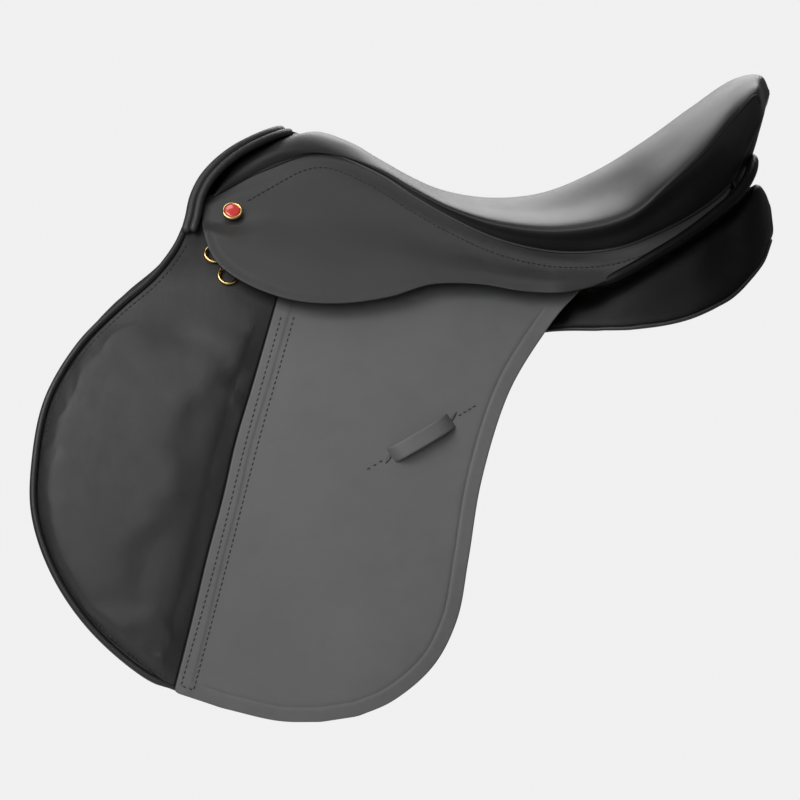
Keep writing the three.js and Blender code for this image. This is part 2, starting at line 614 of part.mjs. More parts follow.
function makeBar(holes) {
  const height = BAR.height / 2;
  const plate = solid(box(-BAR.half, BAR.half - 4, BAR.inner, BAR.outer, -height, height));
  const post = solid(box(-BAR.half, -BAR.half + 5, BAR.outer - 1, ARM_OUT, -BAR.armHeight / 2, BAR.armHeight / 2));
  const arm = solid(box(-BAR.half, BAR.half, ARM_IN, ARM_OUT, -BAR.armHeight / 2, BAR.armHeight / 2));
  const notch = solid(box(CATCH.pivot - CATCH.radius - 1, BAR.half + 1, CATCH_IN - 0.3, ARM_OUT + 1, -9, 9));
  const rivetHoles = Object.values(RIVETS).map((x) => solid(shank(PIN_R + 0.3, -5, 5).translate(x, 0, 0)));
  const pinHole = solid(shank(PIN_R + 0.3, 5, 20).translate(CATCH.pivot, 0, 0));
  const cuts = [...rivetHoles, notch, pinHole];
  const bar = cuts.reduce((whole, cut) => whole.subtract(cut), plate.add(post).add(arm));
  return geometryOf(bar).applyMatrix4(onBar);
}

function makeCatch() {
  const tip = [[CATCH.length, -2.4], [CATCH.length + 1.5, 0], [CATCH.length, 2.8]];
  const shape = outline([[3, 3.4], [-2, 3.2], [-4, 0], [-2, -3.2], [3, -3.4]], tip);
  shape.holes.push(new THREE.Path().absarc(0, 0, PIN_R + 0.3, 0, 2 * Math.PI, true));
  return prism(shape, CATCH_IN, ARM_OUT, 4).translate(CATCH.pivot, 0, 0).applyMatrix4(onBar);
}

/** A rivet or pin on the bar at x, from its shank's two ends and its head's radius and height. */
function makePin(x, from, to, headRadius, headHeight) {
  const head = [[headRadius, to], [headRadius * 0.8, to + headHeight], [0, to + headHeight]];
  return turned([[0, from], [PIN_R, from], [PIN_R, to], ...head]).translate(x, 0, 0).applyMatrix4(onBar);
}

const makeRivet = (x) => makePin(x, -4.6, BAR.outer + 0.35, 3.6, 1);
const makeCatchPin = () => makePin(CATCH.pivot, ARM_IN - 0.2, ARM_OUT + 0.3, 2.8, 0.6);

const RING_OUT = 5.6; // middle of a ring's wire, outwards from the side surface

function makeRing([x, z]) {
  const circle = Array.from({ length: 12 }, (_, i) => (i / 6) * Math.PI).map((a) =>
    vec(RING_R * Math.sin(a), RING_OUT, RING_R * (Math.cos(a) - 1))
  );
  return wireRing(circle, WIRE_R).applyMatrix4(onSide(x, z));
}

function makeStaple([x, z]) {
  const arch = [[4.1, -3.6], [6.2, -3.6], [8.2, -2], [8.8, 0], [8.2, 2], [6.2, 3.6], [4.1, 3.6]];
  return sweep(roundSection(1), arch.map(([y, up]) => vec(0, y, up)), 9).applyMatrix4(onSide(x, z));
}

const onNail = onSide(NAIL.x, NAIL.z);

function makeNail() {
  const { radius, shank: stem, seat } = NAIL;
  const head = [[radius, seat], [radius, seat + 1.2], [radius - 1.6, seat + 2.6], [0, seat + 3]];
  return turned([[0, -4.6], [stem, -4.6], [stem, seat], ...head], 16).applyMatrix4(onNail);
}

// ---------------------------------------------------------------- assembly

const saddle = new THREE.Group();
saddle.name = "english_saddle";

function addMesh(group, name, made, material) {
  const geometry = made.getMesh ? geometryOf(made) : made;
  const mesh = new THREE.Mesh(geometry, material.clone());
  mesh.name = name;
  group.add(mesh);
}

const barHoles = Object.values(RIVETS).map(barHole);
const nailHole = placed(shank(NAIL.shank + 0.3, -30, 30), onNail);

function addCentre() {
  const middle = (limit, from = 0, to = 1) => (u, v) => Math.abs(v) < limit && u > from && u < to;
  addMesh(saddle, "tree_frame", makeTree([...barHoles, nailHole]), BEECH);
  addMesh(saddle, "gullet_plate", seatLayer(UNDER_TREE, middle(0.45, 0.02, 0.2)), SPRING_STEEL);
  addMesh(saddle, "seat_web_long", seatLayer(LONG_WEB, middle(0.34, 0.1, 0.92)), WEBBING);
  addMesh(saddle, "seat_web_cross", seatLayer(CROSS_WEB, middle(0.7, 0.46, 0.64)), WEBBING);
  addMesh(saddle, "seat_foam", seatLayer(SEAT_FOAM), FOAM);
  addMesh(saddle, "seat_cover", seatLayer(COVER), SEAT_LEATHER);
  addMesh(saddle, "head_facing", makeHeadFacing(), PANEL_LEATHER);
  addMesh(saddle, "pommel_roll", sweep(roundSection(3.3), pommelCurve(), 22), SOFT_LEATHER);
  addMesh(saddle, "pommel_piping", sweep(roundSection(2.7), pommelCurve(6.4), 22), SOFT_LEATHER);
  addMesh(saddle, "cantle_facing", makeCantleFacing(), PANEL_LEATHER);
  const rim = rimVs.map((v) => rimPoint(v, 2.4, 2.6));
  addMesh(saddle, "cantle_piping", sweep(roundSection(2), rim, 20), SOFT_LEATHER);
}

function addSide(prefix, mirror) {
  const side = new THREE.Group();
  side.name = `${prefix}_side`;
  side.scale.y = mirror;
  const add = (name, made, material) => addMesh(side, `${prefix}_${name}`, made, material);
  const spring = seatLayer(UNDER_TREE, (u, v) => v > 0.35 && v < 0.45 && u > 0.26 && u < 0.86);
  add("tree_spring", spring, SPRING_STEEL);
  add("panel", makePanel(), PANEL_LEATHER);
  add("panel_top_roll", sweep(roundSection(5.1), TOP_ROLL.map((p) => vec(...p)), 20), PANEL_LEATHER);
  add("sweat_flap", sheet(sweatFlapOutline(), ...SWEAT_FLAP), FLAP_LEATHER);
  add("girth_web", sheet(rectangle(-123, -31, -46, 20), ...GIRTH_WEB), WEBBING);
  for (const [place, x] of Object.entries(BILLET_XS)) add(`billet_${place}`, makeBillet(x), FLAP_LEATHER);

  const barRoom = solid(prism(rectangle(BAR.x - 36, BAR.x + 36, -14, 15), -20, 300));
  const whole = sheet(flapOutline(), ...FLAP);
  const flapHead = whole.intersect(above(FLAP_HINGE_Z + GAP / 2)).subtract(barRoom).subtract(nailHole);
  add("flap_head", flapHead, FLAP_LEATHER);
  add("flap", whole.intersect(below(FLAP_HINGE_Z - GAP / 2)), FLAP_LEATHER);
  add("knee_pad", makePad(FLAP_HINGE_Z - GAP / 2, -308, 12), SOFT_LEATHER);
  add("keeper", makeKeeper(), FLAP_LEATHER);

  const skirt = sheet(skirtOutline(), skirtInner, (x, z) => skirtInner(x, z) + LEATHER, SKIRT_ZS);
  add("skirt_head", skirt.subtract(underBend(0)).subtract(nailHole), FLAP_LEATHER);
  add("skirt", skirt.intersect(underBend(GAP)), FLAP_LEATHER);

  add("stirrup_bar", makeBar(), STEEL);
  for (const [place, x] of Object.entries(RIVETS)) add(`bar_rivet_${place}`, makeRivet(x), STEEL);
  add("safety_catch", makeCatch(), STEEL);
  add("catch_pin", makeCatchPin(), STEEL);
  for (const [place, at] of Object.entries(DEES)) {
    add(`dee_ring_${place}`, makeRing(at), BRASS);
    add(`dee_staple_${place}`, makeStaple(at), BRASS);
  }
  add("skirt_nail", makeNail(), BRASS);
  saddle.add(side);
}

addCentre();
addSide("near", -1);
addSide("off", 1);

export default saddle;
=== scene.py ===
"""The looks of an English saddle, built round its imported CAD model.

The frame is the CAD's: +X from the pommel to the cantle, +Y the off side, +Z up. Lengths are in millimetres
up to the moment a mesh is made. Each side's pieces are made on the off side, and mirrored for the near side.
"""

import math

import bmesh
import bpy
import numpy as np
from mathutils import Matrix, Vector
from mathutils.bvhtree import BVHTree
from mathutils.geometry import delaunay_2d_cdt


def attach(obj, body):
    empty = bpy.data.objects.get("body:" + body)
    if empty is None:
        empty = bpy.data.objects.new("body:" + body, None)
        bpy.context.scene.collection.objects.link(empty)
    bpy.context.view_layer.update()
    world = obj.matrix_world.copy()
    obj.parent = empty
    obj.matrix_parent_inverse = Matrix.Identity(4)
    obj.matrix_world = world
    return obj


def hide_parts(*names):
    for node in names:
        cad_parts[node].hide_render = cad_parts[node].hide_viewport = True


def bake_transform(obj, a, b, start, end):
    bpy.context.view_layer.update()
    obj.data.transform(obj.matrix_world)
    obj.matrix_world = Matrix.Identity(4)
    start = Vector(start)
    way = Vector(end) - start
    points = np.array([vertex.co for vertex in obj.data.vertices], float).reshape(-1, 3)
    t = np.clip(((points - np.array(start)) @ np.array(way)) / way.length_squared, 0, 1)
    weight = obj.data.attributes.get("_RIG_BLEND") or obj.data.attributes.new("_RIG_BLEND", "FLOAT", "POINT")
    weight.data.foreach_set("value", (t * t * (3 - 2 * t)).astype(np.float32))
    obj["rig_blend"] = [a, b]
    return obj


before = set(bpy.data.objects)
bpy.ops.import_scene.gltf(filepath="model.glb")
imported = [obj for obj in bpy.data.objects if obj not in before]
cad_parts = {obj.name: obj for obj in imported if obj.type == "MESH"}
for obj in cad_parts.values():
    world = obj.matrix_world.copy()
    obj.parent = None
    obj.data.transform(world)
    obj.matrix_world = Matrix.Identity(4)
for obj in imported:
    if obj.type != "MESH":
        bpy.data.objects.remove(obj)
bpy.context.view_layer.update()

MM = 0.001
SIDES = {"near": -1, "off": 1}

# ---------------------------------------------------------------- the saddle's surfaces, as the CAD has them

HALF_AT_BEARING = 100
SPLAY = 120
SPLAY_FALL = 200
WAIST_X = -120
FRONT_TUCK = 6
REAR_FLARE = 18
SKIRT_CLOSE = 4.9
SKIRT_STANDS_OFF = 19
LEATHER = 3.5
FLAP_HINGE_Z = -38
SKIRT_HINGE = ((-240, 31), (35, -11))
SEAT_ROOM = 48
SEAT_EDGE_OUT = 3

# middle of the top [x, z], crest [x, y, z], lower edge [x, z], bulge of the top and tuck of the side
SEAT_SECTIONS = [
    ((-153, 101), (-200, 45, 79), (-223, 52), 4, 0),
    ((-139, 103), (-162, 42, 89), (-181, 72), 5, 0),
    ((-112, 94), (-123, 45, 84), (-137, 85), 5, 0),
    ((-90, 81), (-92, 55, 72), (-95, 70), 4, 0),
    ((-65, 67), (-66, 68, 57), (-67, 52), 4, 0),
    ((-38, 56), (-37, 82, 42), (-36, 34), 3, 0),
    ((0, 50), (0, 97, 30), (2, 17), 3, 0),
    ((42, 54), (48, 113, 26), (47, 8), 2, 0),
    ((86, 72), (96, 127, 37), (89, 11), 3, -4),
    ((127, 97), (127, 130, 62), (118, 21), 6, -6),
    ((168, 126), (156, 119, 87), (144, 33), 8, -6),
    ((201, 147), (183, 91, 113), (163, 44), 7, -4),
    ((219, 148), (205, 64, 130), (174, 52), 4, -2),
    ((226, 136), (212, 50, 114), (181, 59), 3, 0),
]


def smooth(low, high, value):
    """0 below low, 1 above high, and an even turn between them."""
    t = np.clip((np.asarray(value, float) - low) / (high - low), 0, 1)
    return t * t * (3 - 2 * t)


def side_at(x, z):
    """How far from the middle plane the side surface lies."""
    x = np.asarray(x, float)
    z = np.asarray(z, float)
    splay = HALF_AT_BEARING + SPLAY * (1 - np.exp(z / SPLAY_FALL))
    tuck = np.where(x < WAIST_X, FRONT_TUCK * ((x - WAIST_X) / 240) ** 2, 0)
    return splay - tuck + REAR_FLARE * smooth(20, 150, x)


def side_normal(x, z):
    """The side surface's outward direction at a point."""
    step = 0.5
    slope_x = (side_at(x + step, z) - side_at(x - step, z)) / (2 * step)
    slope_z = (side_at(x, z + step) - side_at(x, z - step)) / (2 * step)
    normal = np.array([-float(slope_x), 1, -float(slope_z)])
    return normal / np.linalg.norm(normal)


def spline(points, t):
    """The point at t, from 0 to 1, of a smooth curve through points."""
    p = np.asarray(points, float)
    last = len(p) - 1
    at = min(t * last, last - 1e-9)
    i = int(at)
    w = at - i
    b, c = p[i], p[i + 1]
    a = p[i - 1] if i > 0 else 2 * b - c
    d = p[i + 2] if i + 2 <= last else 2 * c - b
    before, here, after = (math.sqrt(np.linalg.norm(v)) for v in (b - a, c - b, d - c))
    into = ((b - a) / before - (c - a) / (before + here) + (c - b) / here) * here
    out = ((c - b) / here - (d - b) / (here + after) + (d - c) / after) * here
    return b + into * w + (3 * (c - b) - 2 * into - out) * w**2 + (2 * (b - c) + into + out) * w**3


def run(points, step=3.0):
    """A smooth run of points about this far apart, through the given ones."""
    p = np.asarray(points, float)
    if len(p) < 2:
        return p
    if len(p) == 2:
        count = max(2, int(np.linalg.norm(p[1] - p[0]) / step) + 1)
        return np.linspace(p[0], p[1], count)
    fine = np.array([spline(p, t) for t in np.linspace(0, 1, 12 * len(p))])
    far = np.concatenate([[0], np.cumsum(np.linalg.norm(np.diff(fine, axis=0), axis=1))])
    even = np.linspace(0, far[-1], max(3, int(far[-1] / step) + 1))
    return np.stack([np.interp(even, far, fine[:, k]) for k in range(fine.shape[1])], axis=1)


def closed_line(*runs, step=3.0, rounding=3):
    """A closed line in x and z from smooth runs that meet at corners, which are rounded a little."""
    parts = [run(points, step) for points in runs]
    joined = []
    for part, following in zip(parts, parts[1:] + parts[:1]):
        joined.append(part)
        bridge = run([part[-1], following[0]], step)
        if len(bridge) > 2:
            joined.append(bridge[1:-1])
    line = np.concatenate(joined)
    keep = np.linalg.norm(line - np.roll(line, 1, axis=0), axis=1) > 0.3 * step
    line = line[keep]
    for _ in range(rounding):
        line = 0.5 * line + 0.25 * (np.roll(line, 1, axis=0) + np.roll(line, -1, axis=0))
    return line


def section_curves():
    """The five lines along the seat that its sections give: middle, bulge, crest, side and foot."""
    lines = [[], [], [], [], []]
    for middle, crest, lower, bulge, tuck in SEAT_SECTIONS:
        top = np.array([middle[0], 0, middle[1]], float)
        edge = np.array(crest, float)
        foot = np.array([lower[0], float(side_at(*lower)) + SEAT_EDGE_OUT, lower[1]])
        lines[0].append(top)
        lines[1].append(top + 0.55 * (edge - top) + (0, 0, bulge))
        lines[2].append(edge)
        lines[3].append(0.5 * (edge + foot) + (0, tuck, 0))
        lines[4].append(foot)
    return lines


SEAT_CURVES = section_curves()
ACROSS = np.array([1, -1, 1])


def seat_point(u, v):
    """A point of the seat: u runs from pommel to cantle, v from the middle (0) to the foot (1, or -1)."""
    section = [spline(line, u) for line in SEAT_CURVES]
    whole = [section[2] * ACROSS, section[1] * ACROSS, *section]
    point = spline(whole, (2 + 4 * abs(v)) / 6)
    return point * ACROSS if v < 0 else point


def seat_heart(u):
    """The point on the middle plane that the layers under the seat close in on."""
    top, foot = seat_point(u, 0), seat_point(u, 1)
    return np.array([0.35 * top[0] + 0.65 * foot[0], 0, foot[2] - 12])


def seat_out(u, v):
    """The direction out of the seat, shorter where the seat is shallow."""
    heart = seat_heart(u)
    room = min(1, (seat_point(u, 0)[2] - heart[2]) / SEAT_ROOM)
    out = seat_point(u, v) - heart
    return out / np.linalg.norm(out) * room


SEAM = np.array([seat_point(u, 1) for u in np.linspace(0, 1, 90)])


def seam_at(x):
    """The height of the seat's lower edge."""
    return np.interp(x, SEAM[:, 0], SEAM[:, 2])


def skirt_hinge_at(x):
    (x0, z0), (x1, z1) = SKIRT_HINGE
    return z0 + (np.asarray(x, float) - x0) * (z1 - z0) / (x1 - x0)


def skirt_inner(x, z):
    """How far the skirt's inner face stands off the side surface."""
    x = np.asarray(x, float)
    z = np.asarray(z, float)
    seam = seam_at(x)
    down = (seam - z) / (seam - skirt_hinge_at(np.minimum(x, SKIRT_HINGE[1][0])))
    close = 0.8 - 0.2 * smooth(-212, -180, x)
    over = 0.8 + (SKIRT_CLOSE - 0.8) * smooth(0, 0.3, down)
    share = np.clip((down - close) / (1.2 - close), 0, 1)
    off = (SKIRT_STANDS_OFF - SKIRT_CLOSE) * share * share * (3 - 2 * share)
    return over + off + (1.2 - over - off) * smooth(35, 100, x)


# ---------------------------------------------------------------- meshes


def mesh_object(name, vertices, faces, side=1):
    """A smooth mesh from points in millimetres, mirrored across the saddle when side is -1."""
    points = np.asarray(vertices, float) * MM
    points[:, 1] *= side
    mesh = bpy.data.meshes.new(name)
    mesh.from_pydata(points.tolist(), [], [list(map(int, face)) for face in faces])
    made = bmesh.new()
    made.from_mesh(mesh)
    bmesh.ops.recalc_face_normals(made, faces=made.faces)
    made.to_mesh(mesh)
    made.free()
    mesh.polygons.foreach_set("use_smooth", [True] * len(mesh.polygons))
    obj = bpy.data.objects.new(name, mesh)
    bpy.context.scene.collection.objects.link(obj)
    return obj


def rings_faces(rows, count):
    """The faces between closed rows of points laid one after another, each with count points."""
    faces = []
    for r in range(rows - 1):
        for k in range(count):
            after = (k + 1) % count
            faces.append([r * count + k, r * count + after, (r + 1) * count + after, (r + 1) * count + k])
    return faces


def capped(faces, rows, count):
    """The faces with a flat one across the first and the last row."""
    return faces + [list(range(count)), list(range((rows - 1) * count, rows * count))]


def grid_shell(outer, inner):
    """The closed body between two grids of points that lie one over the other."""
    rows, columns = outer.shape[:2]
    points = np.concatenate([outer.reshape(-1, 3), inner.reshape(-1, 3)])
    size = rows * columns
    faces = []
    for i in range(rows - 1):
        for j in range(columns - 1):
            a, b = i * columns + j, (i + 1) * columns + j
            faces.append([a, b, b + 1, a + 1])
            faces.append([size + a, size + a + 1, size + b + 1, size + b])
    border = [*range(columns), *(i * columns + columns - 1 for i in range(1, rows))]
    border += [(rows - 1) * columns + j for j in range(columns - 2, -1, -1)]
    border += [i * columns for i in range(rows - 2, 0, -1)]
    for a, b in zip(border, border[1:] + border[:1]):
        faces.append([a, b, size + b, size + a])
    return points, faces


def inward(line):
    """For each point of a closed line in x and z, the direction into it."""
    along = np.roll(line, -2, axis=0) - np.roll(line, 2, axis=0)
    along /= np.linalg.norm(along, axis=1)[:, None]
    following = np.roll(line, -1, axis=0)
    area = np.sum(line[:, 0] * following[:, 1] - following[:, 0] * line[:, 1])
    normal = np.stack([-along[:, 1], along[:, 0]], axis=1)
    return normal if area > 0 else -normal


EDGE_ROWS = (0.12, 0.4, 0.8, 1.2, 2.2, 3.6, 5.4, 7.5, 9.4, 10.4, 11.2, 12.0, 13.0, 15.5, 19)


def leather_sheet(line, face, back, corner=1.1, pitch=6.0):
    """A cut piece of leather on the side surface, with rounded edges.

    line is its outline in x and z, and face(x, z, e) and back(x, z, e) say how far out its two sides lie,
    e being the distance in from the edge."""
    normals = inward(line)
    count = len(line)
    dense = np.concatenate([line + (np.roll(line, -1, axis=0) - line) * s for s in (0, 0.25, 0.5, 0.75)])

    def gap(place):
        return np.linalg.norm(dense - place, axis=1).min()

    def reach(places):
        return np.array([gap(place) for place in places])

    places = [line]
    depths = [np.zeros(count)]
    edges = [(k, (k + 1) % count) for k in range(count)]
    total = count
    for e in EDGE_ROWS:
        row = line + normals * e
        kept = np.ones(count, bool) if e < 1 else reach(row) > 0.97 * e
        index = np.cumsum(kept) - 1 + total
        both = kept & np.roll(kept, -1)
        edges += [(index[k], index[(k + 1) % count]) for k in np.flatnonzero(both)]
        places.append(row[kept])
        depths.append(np.full(kept.sum(), e))
        total += kept.sum()
    low, high = line.min(axis=0), line.max(axis=0)
    lattice = []
    for i, z in enumerate(np.arange(low[1], high[1], pitch * 0.87)):
        xs = np.arange(low[0] + (i % 2) * pitch / 2, high[0], pitch)
        lattice.append(np.stack([xs, np.full(len(xs), z)], axis=1))
    lattice = np.concatenate(lattice)
    inside = reach(lattice)
    clear = inside > EDGE_ROWS[-1] + 0.5 * pitch
    places = np.concatenate([*places, lattice[clear]])
    depths = np.concatenate([*depths, inside[clear]])
    flat = [Vector(place) for place in places.tolist()]
    pairs = [(int(a), int(b)) for a, b in edges]
    verts, _, faces, origins, _, _ = delaunay_2d_cdt(flat, pairs, [], 1, 1e-4)
    at = np.array([tuple(v) for v in verts])
    e = np.array([depths[origin[0]] if origin else gap(place) for origin, place in zip(origins, at)])
    drop = corner * (1 - np.sqrt(1 - np.clip(1 - e / corner, 0, 1) ** 2))
    base = side_at(at[:, 0], at[:, 1])
    outer = np.stack([at[:, 0], base + face(at[:, 0], at[:, 1], e) - drop, at[:, 1]], axis=1)
    inner = np.stack([at[:, 0], base + back(at[:, 0], at[:, 1], e) + drop, at[:, 1]], axis=1)
    size = len(at)
    rim = {o[0]: k for k, o in enumerate(origins) if o and o[0] < count}
    border = [rim[k] for k in range(count) if k in rim]
    shell = [list(f) for f in faces] + [[size + k for k in reversed(f)] for f in faces]
    shell += [[a, b, size + b, size + a] for a, b in zip(border, border[1:] + border[:1])]
    return np.concatenate([outer, inner]), shell


END_SHARES = (0.25, 0.6, 0.86)  # the sizes of the rings that round off a tube's end


def tube(path, radius, sides=12, closed=False):
    """A round cord along a path, with rounded ends unless it is closed."""
    path = np.asarray(path, float)
    count = len(path)
    radii = np.full(count, float(radius)) if np.isscalar(radius) else np.asarray(radius, float)
    if closed:
        along = np.roll(path, -1, axis=0) - np.roll(path, 1, axis=0)
    else:
        along = np.gradient(path, axis=0)
    along /= np.linalg.norm(along, axis=1)[:, None]
    reference = np.array([0.13, 0.2, 0.97])
    across = np.cross(along[0], reference)
    across /= np.linalg.norm(across)
    rings = []
    frames = []
    for i in range(count):
        across = across - along[i] * (across @ along[i])
        across /= np.linalg.norm(across)
        frames.append((across.copy(), np.cross(along[i], across)))
    if closed:
        twist = math.atan2(frames[0][0] @ frames[-1][1], frames[0][0] @ frames[-1][0])
        turned_frames = []
        for i, (a, b) in enumerate(frames):
            cos, sin = math.cos(twist * i / count), math.sin(twist * i / count)
            turned_frames.append((a * cos + b * sin, b * cos - a * sin))
        frames = turned_frames

    def ring(centre, size, a, b):
        angles = np.linspace(0, 2 * math.pi, sides, endpoint=False)
        return centre + size * (np.outer(np.cos(angles), a) + np.outer(np.sin(angles), b))

    if not closed:
        for share in END_SHARES:
            back = radii[0] * math.sqrt(1 - share * share)
            rings.append(ring(path[0] - along[0] * back, radii[0] * share, *frames[0]))
    rings += [ring(path[i], radii[i], *frames[i]) for i in range(count)]
    if not closed:
        for share in reversed(END_SHARES):
            back = radii[-1] * math.sqrt(1 - share * share)
            rings.append(ring(path[-1] + along[-1] * back, radii[-1] * share, *frames[-1]))
    points = np.concatenate(rings)
    faces = rings_faces(len(rings), sides)
    if closed:
        last = (len(rings) - 1) * sides
        for k in range(sides):
            after = (k + 1) % sides
            faces.append([last + k, last + after, after, k])
    else:
        faces = capped(faces, len(rings), sides)
    return points, faces


def joined(bodies):
    """Several bodies as one list of points and one of faces."""
    points, faces = [], []
    total = 0
    for body_points, body_faces in bodies:
        points.append(np.asarray(body_points, float))
        faces += [[total + k for k in face] for face in body_faces]
        total += len(body_points)
    return np.concatenate(points), faces


def on_side(x, z, out=0.0):
    """A point this far out from the side surface, measured across the saddle."""
    return np.array([x, float(side_at(x, z)) + out, z])


def side_frame(x, z):
    """The turn and place that carry a piece made flat, with +Y outwards, onto the side surface."""
    lean = math.atan(SPLAY / SPLAY_FALL * math.exp(z / SPLAY_FALL))
    turn = np.array([[1, 0, 0], [0, math.cos(lean), -math.sin(lean)], [0, math.sin(lean), math.cos(lean)]])
    return turn, on_side(x, z)


def placed_on_side(points, x, z):
    """Points made flat, carried onto the side surface."""
    turn, place = side_frame(x, z)
    return np.asarray(points, float) @ turn.T + place


def turned(profile, sides=40):
    """A round body about +Y from its [radius, height] corners."""
    rings = []
    for radius, height in profile:
        angles = np.linspace(0, 2 * math.pi, sides, endpoint=False)
        ring = np.stack([radius * np.cos(angles), np.full(sides, height), radius * np.sin(angles)], axis=1)
        rings.append(ring)
    return np.concatenate(rings), capped(rings_faces(len(rings), sides), len(rings), sides)


# ---------------------------------------------------------------- stitching

STITCH_PITCH = 4.1
STITCH_LENGTH = 3.1
STITCH_RADIUS = 0.5
STITCH_SLANT = math.radians(9)
STITCH_SIDES = 6
# along the stitch, how thick it is, and how high it stands
STITCH_PROFILE = [
    (-0.5, 0.25, -0.5), (-0.34, 0.85, 0.05), (0, 1, 0.25), (0.34, 0.85, 0.05), (0.5, 0.25, -0.5),
]


def one_stitch(centre, along, out):
    """A short thread that dips into the leather at both ends."""
    side = np.cross(along, out)
    points = []
    for place, size, rise in STITCH_PROFILE:
        middle = centre + along * place * STITCH_LENGTH + out * rise * STITCH_RADIUS
        for k in range(STITCH_SIDES):
            turn = 2 * math.pi * k / STITCH_SIDES
            points.append(middle + STITCH_RADIUS * size * (math.cos(turn) * side + math.sin(turn) * out))
    return points, capped(rings_faces(len(STITCH_PROFILE), STITCH_SIDES), len(STITCH_PROFILE), STITCH_SIDES)


def stitch_row(points, out_at):
    """Stitches along a line in x and z; out_at(x, z) is the leather's outer face there."""
    line = run(points, STITCH_PITCH)
    bodies = []
    for here, following in zip(line[:-1], line[1:]):
        x, z = 0.5 * (here + following)
        a = on_side(*here, float(out_at(*here)))
        b = on_side(*following, float(out_at(*following)))
        out = side_normal(x, z)
        along = b - a
        along /= np.linalg.norm(along)
        across = np.cross(out, along)
        along = along * math.cos(STITCH_SLANT) + across * math.sin(STITCH_SLANT)
        bodies.append(one_stitch(0.5 * (a + b), along, out))
    return bodies


# ---------------------------------------------------------------- materials

GRAIN_AT = "grain_at"  # each point's place at rest, so that the grain stays on the leather when it moves
PAINTED_SHADE = "painted_shade"  # how much painted shade darkens a point's leather, and how much duller it is made, from 0 to 1


class Nodes:
    """A small helper for writing a material's nodes."""

    def __init__(self, name):
        self.material = bpy.data.materials.new(name)
        self.material.use_nodes = True
        self.tree = self.material.node_tree
        self.tree.nodes.clear()
        self.shader = self.add("ShaderNodeBsdfPrincipled")
        output = self.add("ShaderNodeOutputMaterial")
        self.link(self.shader.outputs[0], output.inputs[0])
        self.place = self.add("ShaderNodeAttribute", attribute_name=GRAIN_AT).outputs["Vector"]

    def add(self, kind, inputs=None, **settings):
        node = self.tree.nodes.new(kind)
        for key, value in settings.items():
            setattr(node, key, value)
        for key, value in (inputs or {}).items():
            if isinstance(value, bpy.types.NodeSocket):
                self.link(value, node.inputs[key])
            else:
                node.inputs[key].default_value = value
        return node

    def link(self, a, b):
        self.tree.links.new(a, b)

    def scaled(self, x, y, z):
        """The place at rest, stretched."""
        node = self.add("ShaderNodeVectorMath", {0: self.place, 1: (x, y, z)}, operation="MULTIPLY")
        return node.outputs[0]

    def noise(self, scale, detail=4.0, rough=0.55, at=None):
        inputs = {"Vector": at or self.place, "Scale": scale, "Detail": detail, "Roughness": rough}
        return self.add("ShaderNodeTexNoise", inputs).outputs["Fac"]

    def cells(self, scale, at=None):
        inputs = {"Vector": at or self.place, "Scale": scale}
        return self.add("ShaderNodeTexVoronoi", inputs, feature="SMOOTH_F1").outputs["Distance"]

    def math(self, operation, a, b=0.0, clamp=False):
        node = self.add("ShaderNodeMath", {0: a, 1: b}, operation=operation, use_clamp=clamp)
        return node.outputs[0]

    def ramp(self, value, low, high, to_low, to_high):
        inputs = {"Value": value, "From Min": low, "From Max": high, "To Min": to_low, "To Max": to_high}
        return self.add("ShaderNodeMapRange", inputs).outputs[0]

    def mix(self, share, a, b):
        node = self.add("ShaderNodeMix", {"Factor": share}, data_type="RGBA")
        for socket, value in zip([s for s in node.inputs if s.type == "RGBA"], (a, b)):
            if isinstance(value, bpy.types.NodeSocket):
                self.link(value, socket)
            else:
                socket.default_value = (*value, 1)
        return next(s for s in node.outputs if s.type == "RGBA")

    def bump(self, height, depth, strength=1.0, below=None):
        inputs = {"Height": height, "Distance": depth, "Strength": strength}
        if below is not None:
            inputs["Normal"] = below
        return self.add("ShaderNodeBump", inputs).outputs[0]

    def finish(self, colour, roughness, normal=None, **uniform):
        self.link(colour, self.shader.inputs["Base Color"])
        self.link(roughness, self.shader.inputs["Roughness"])
        if normal is not None:
            self.link(normal, self.shader.inputs["Normal"])
        for key, value in uniform.items():
            self.shader.inputs[key.replace("_", " ")].default_value = value
        return self.material


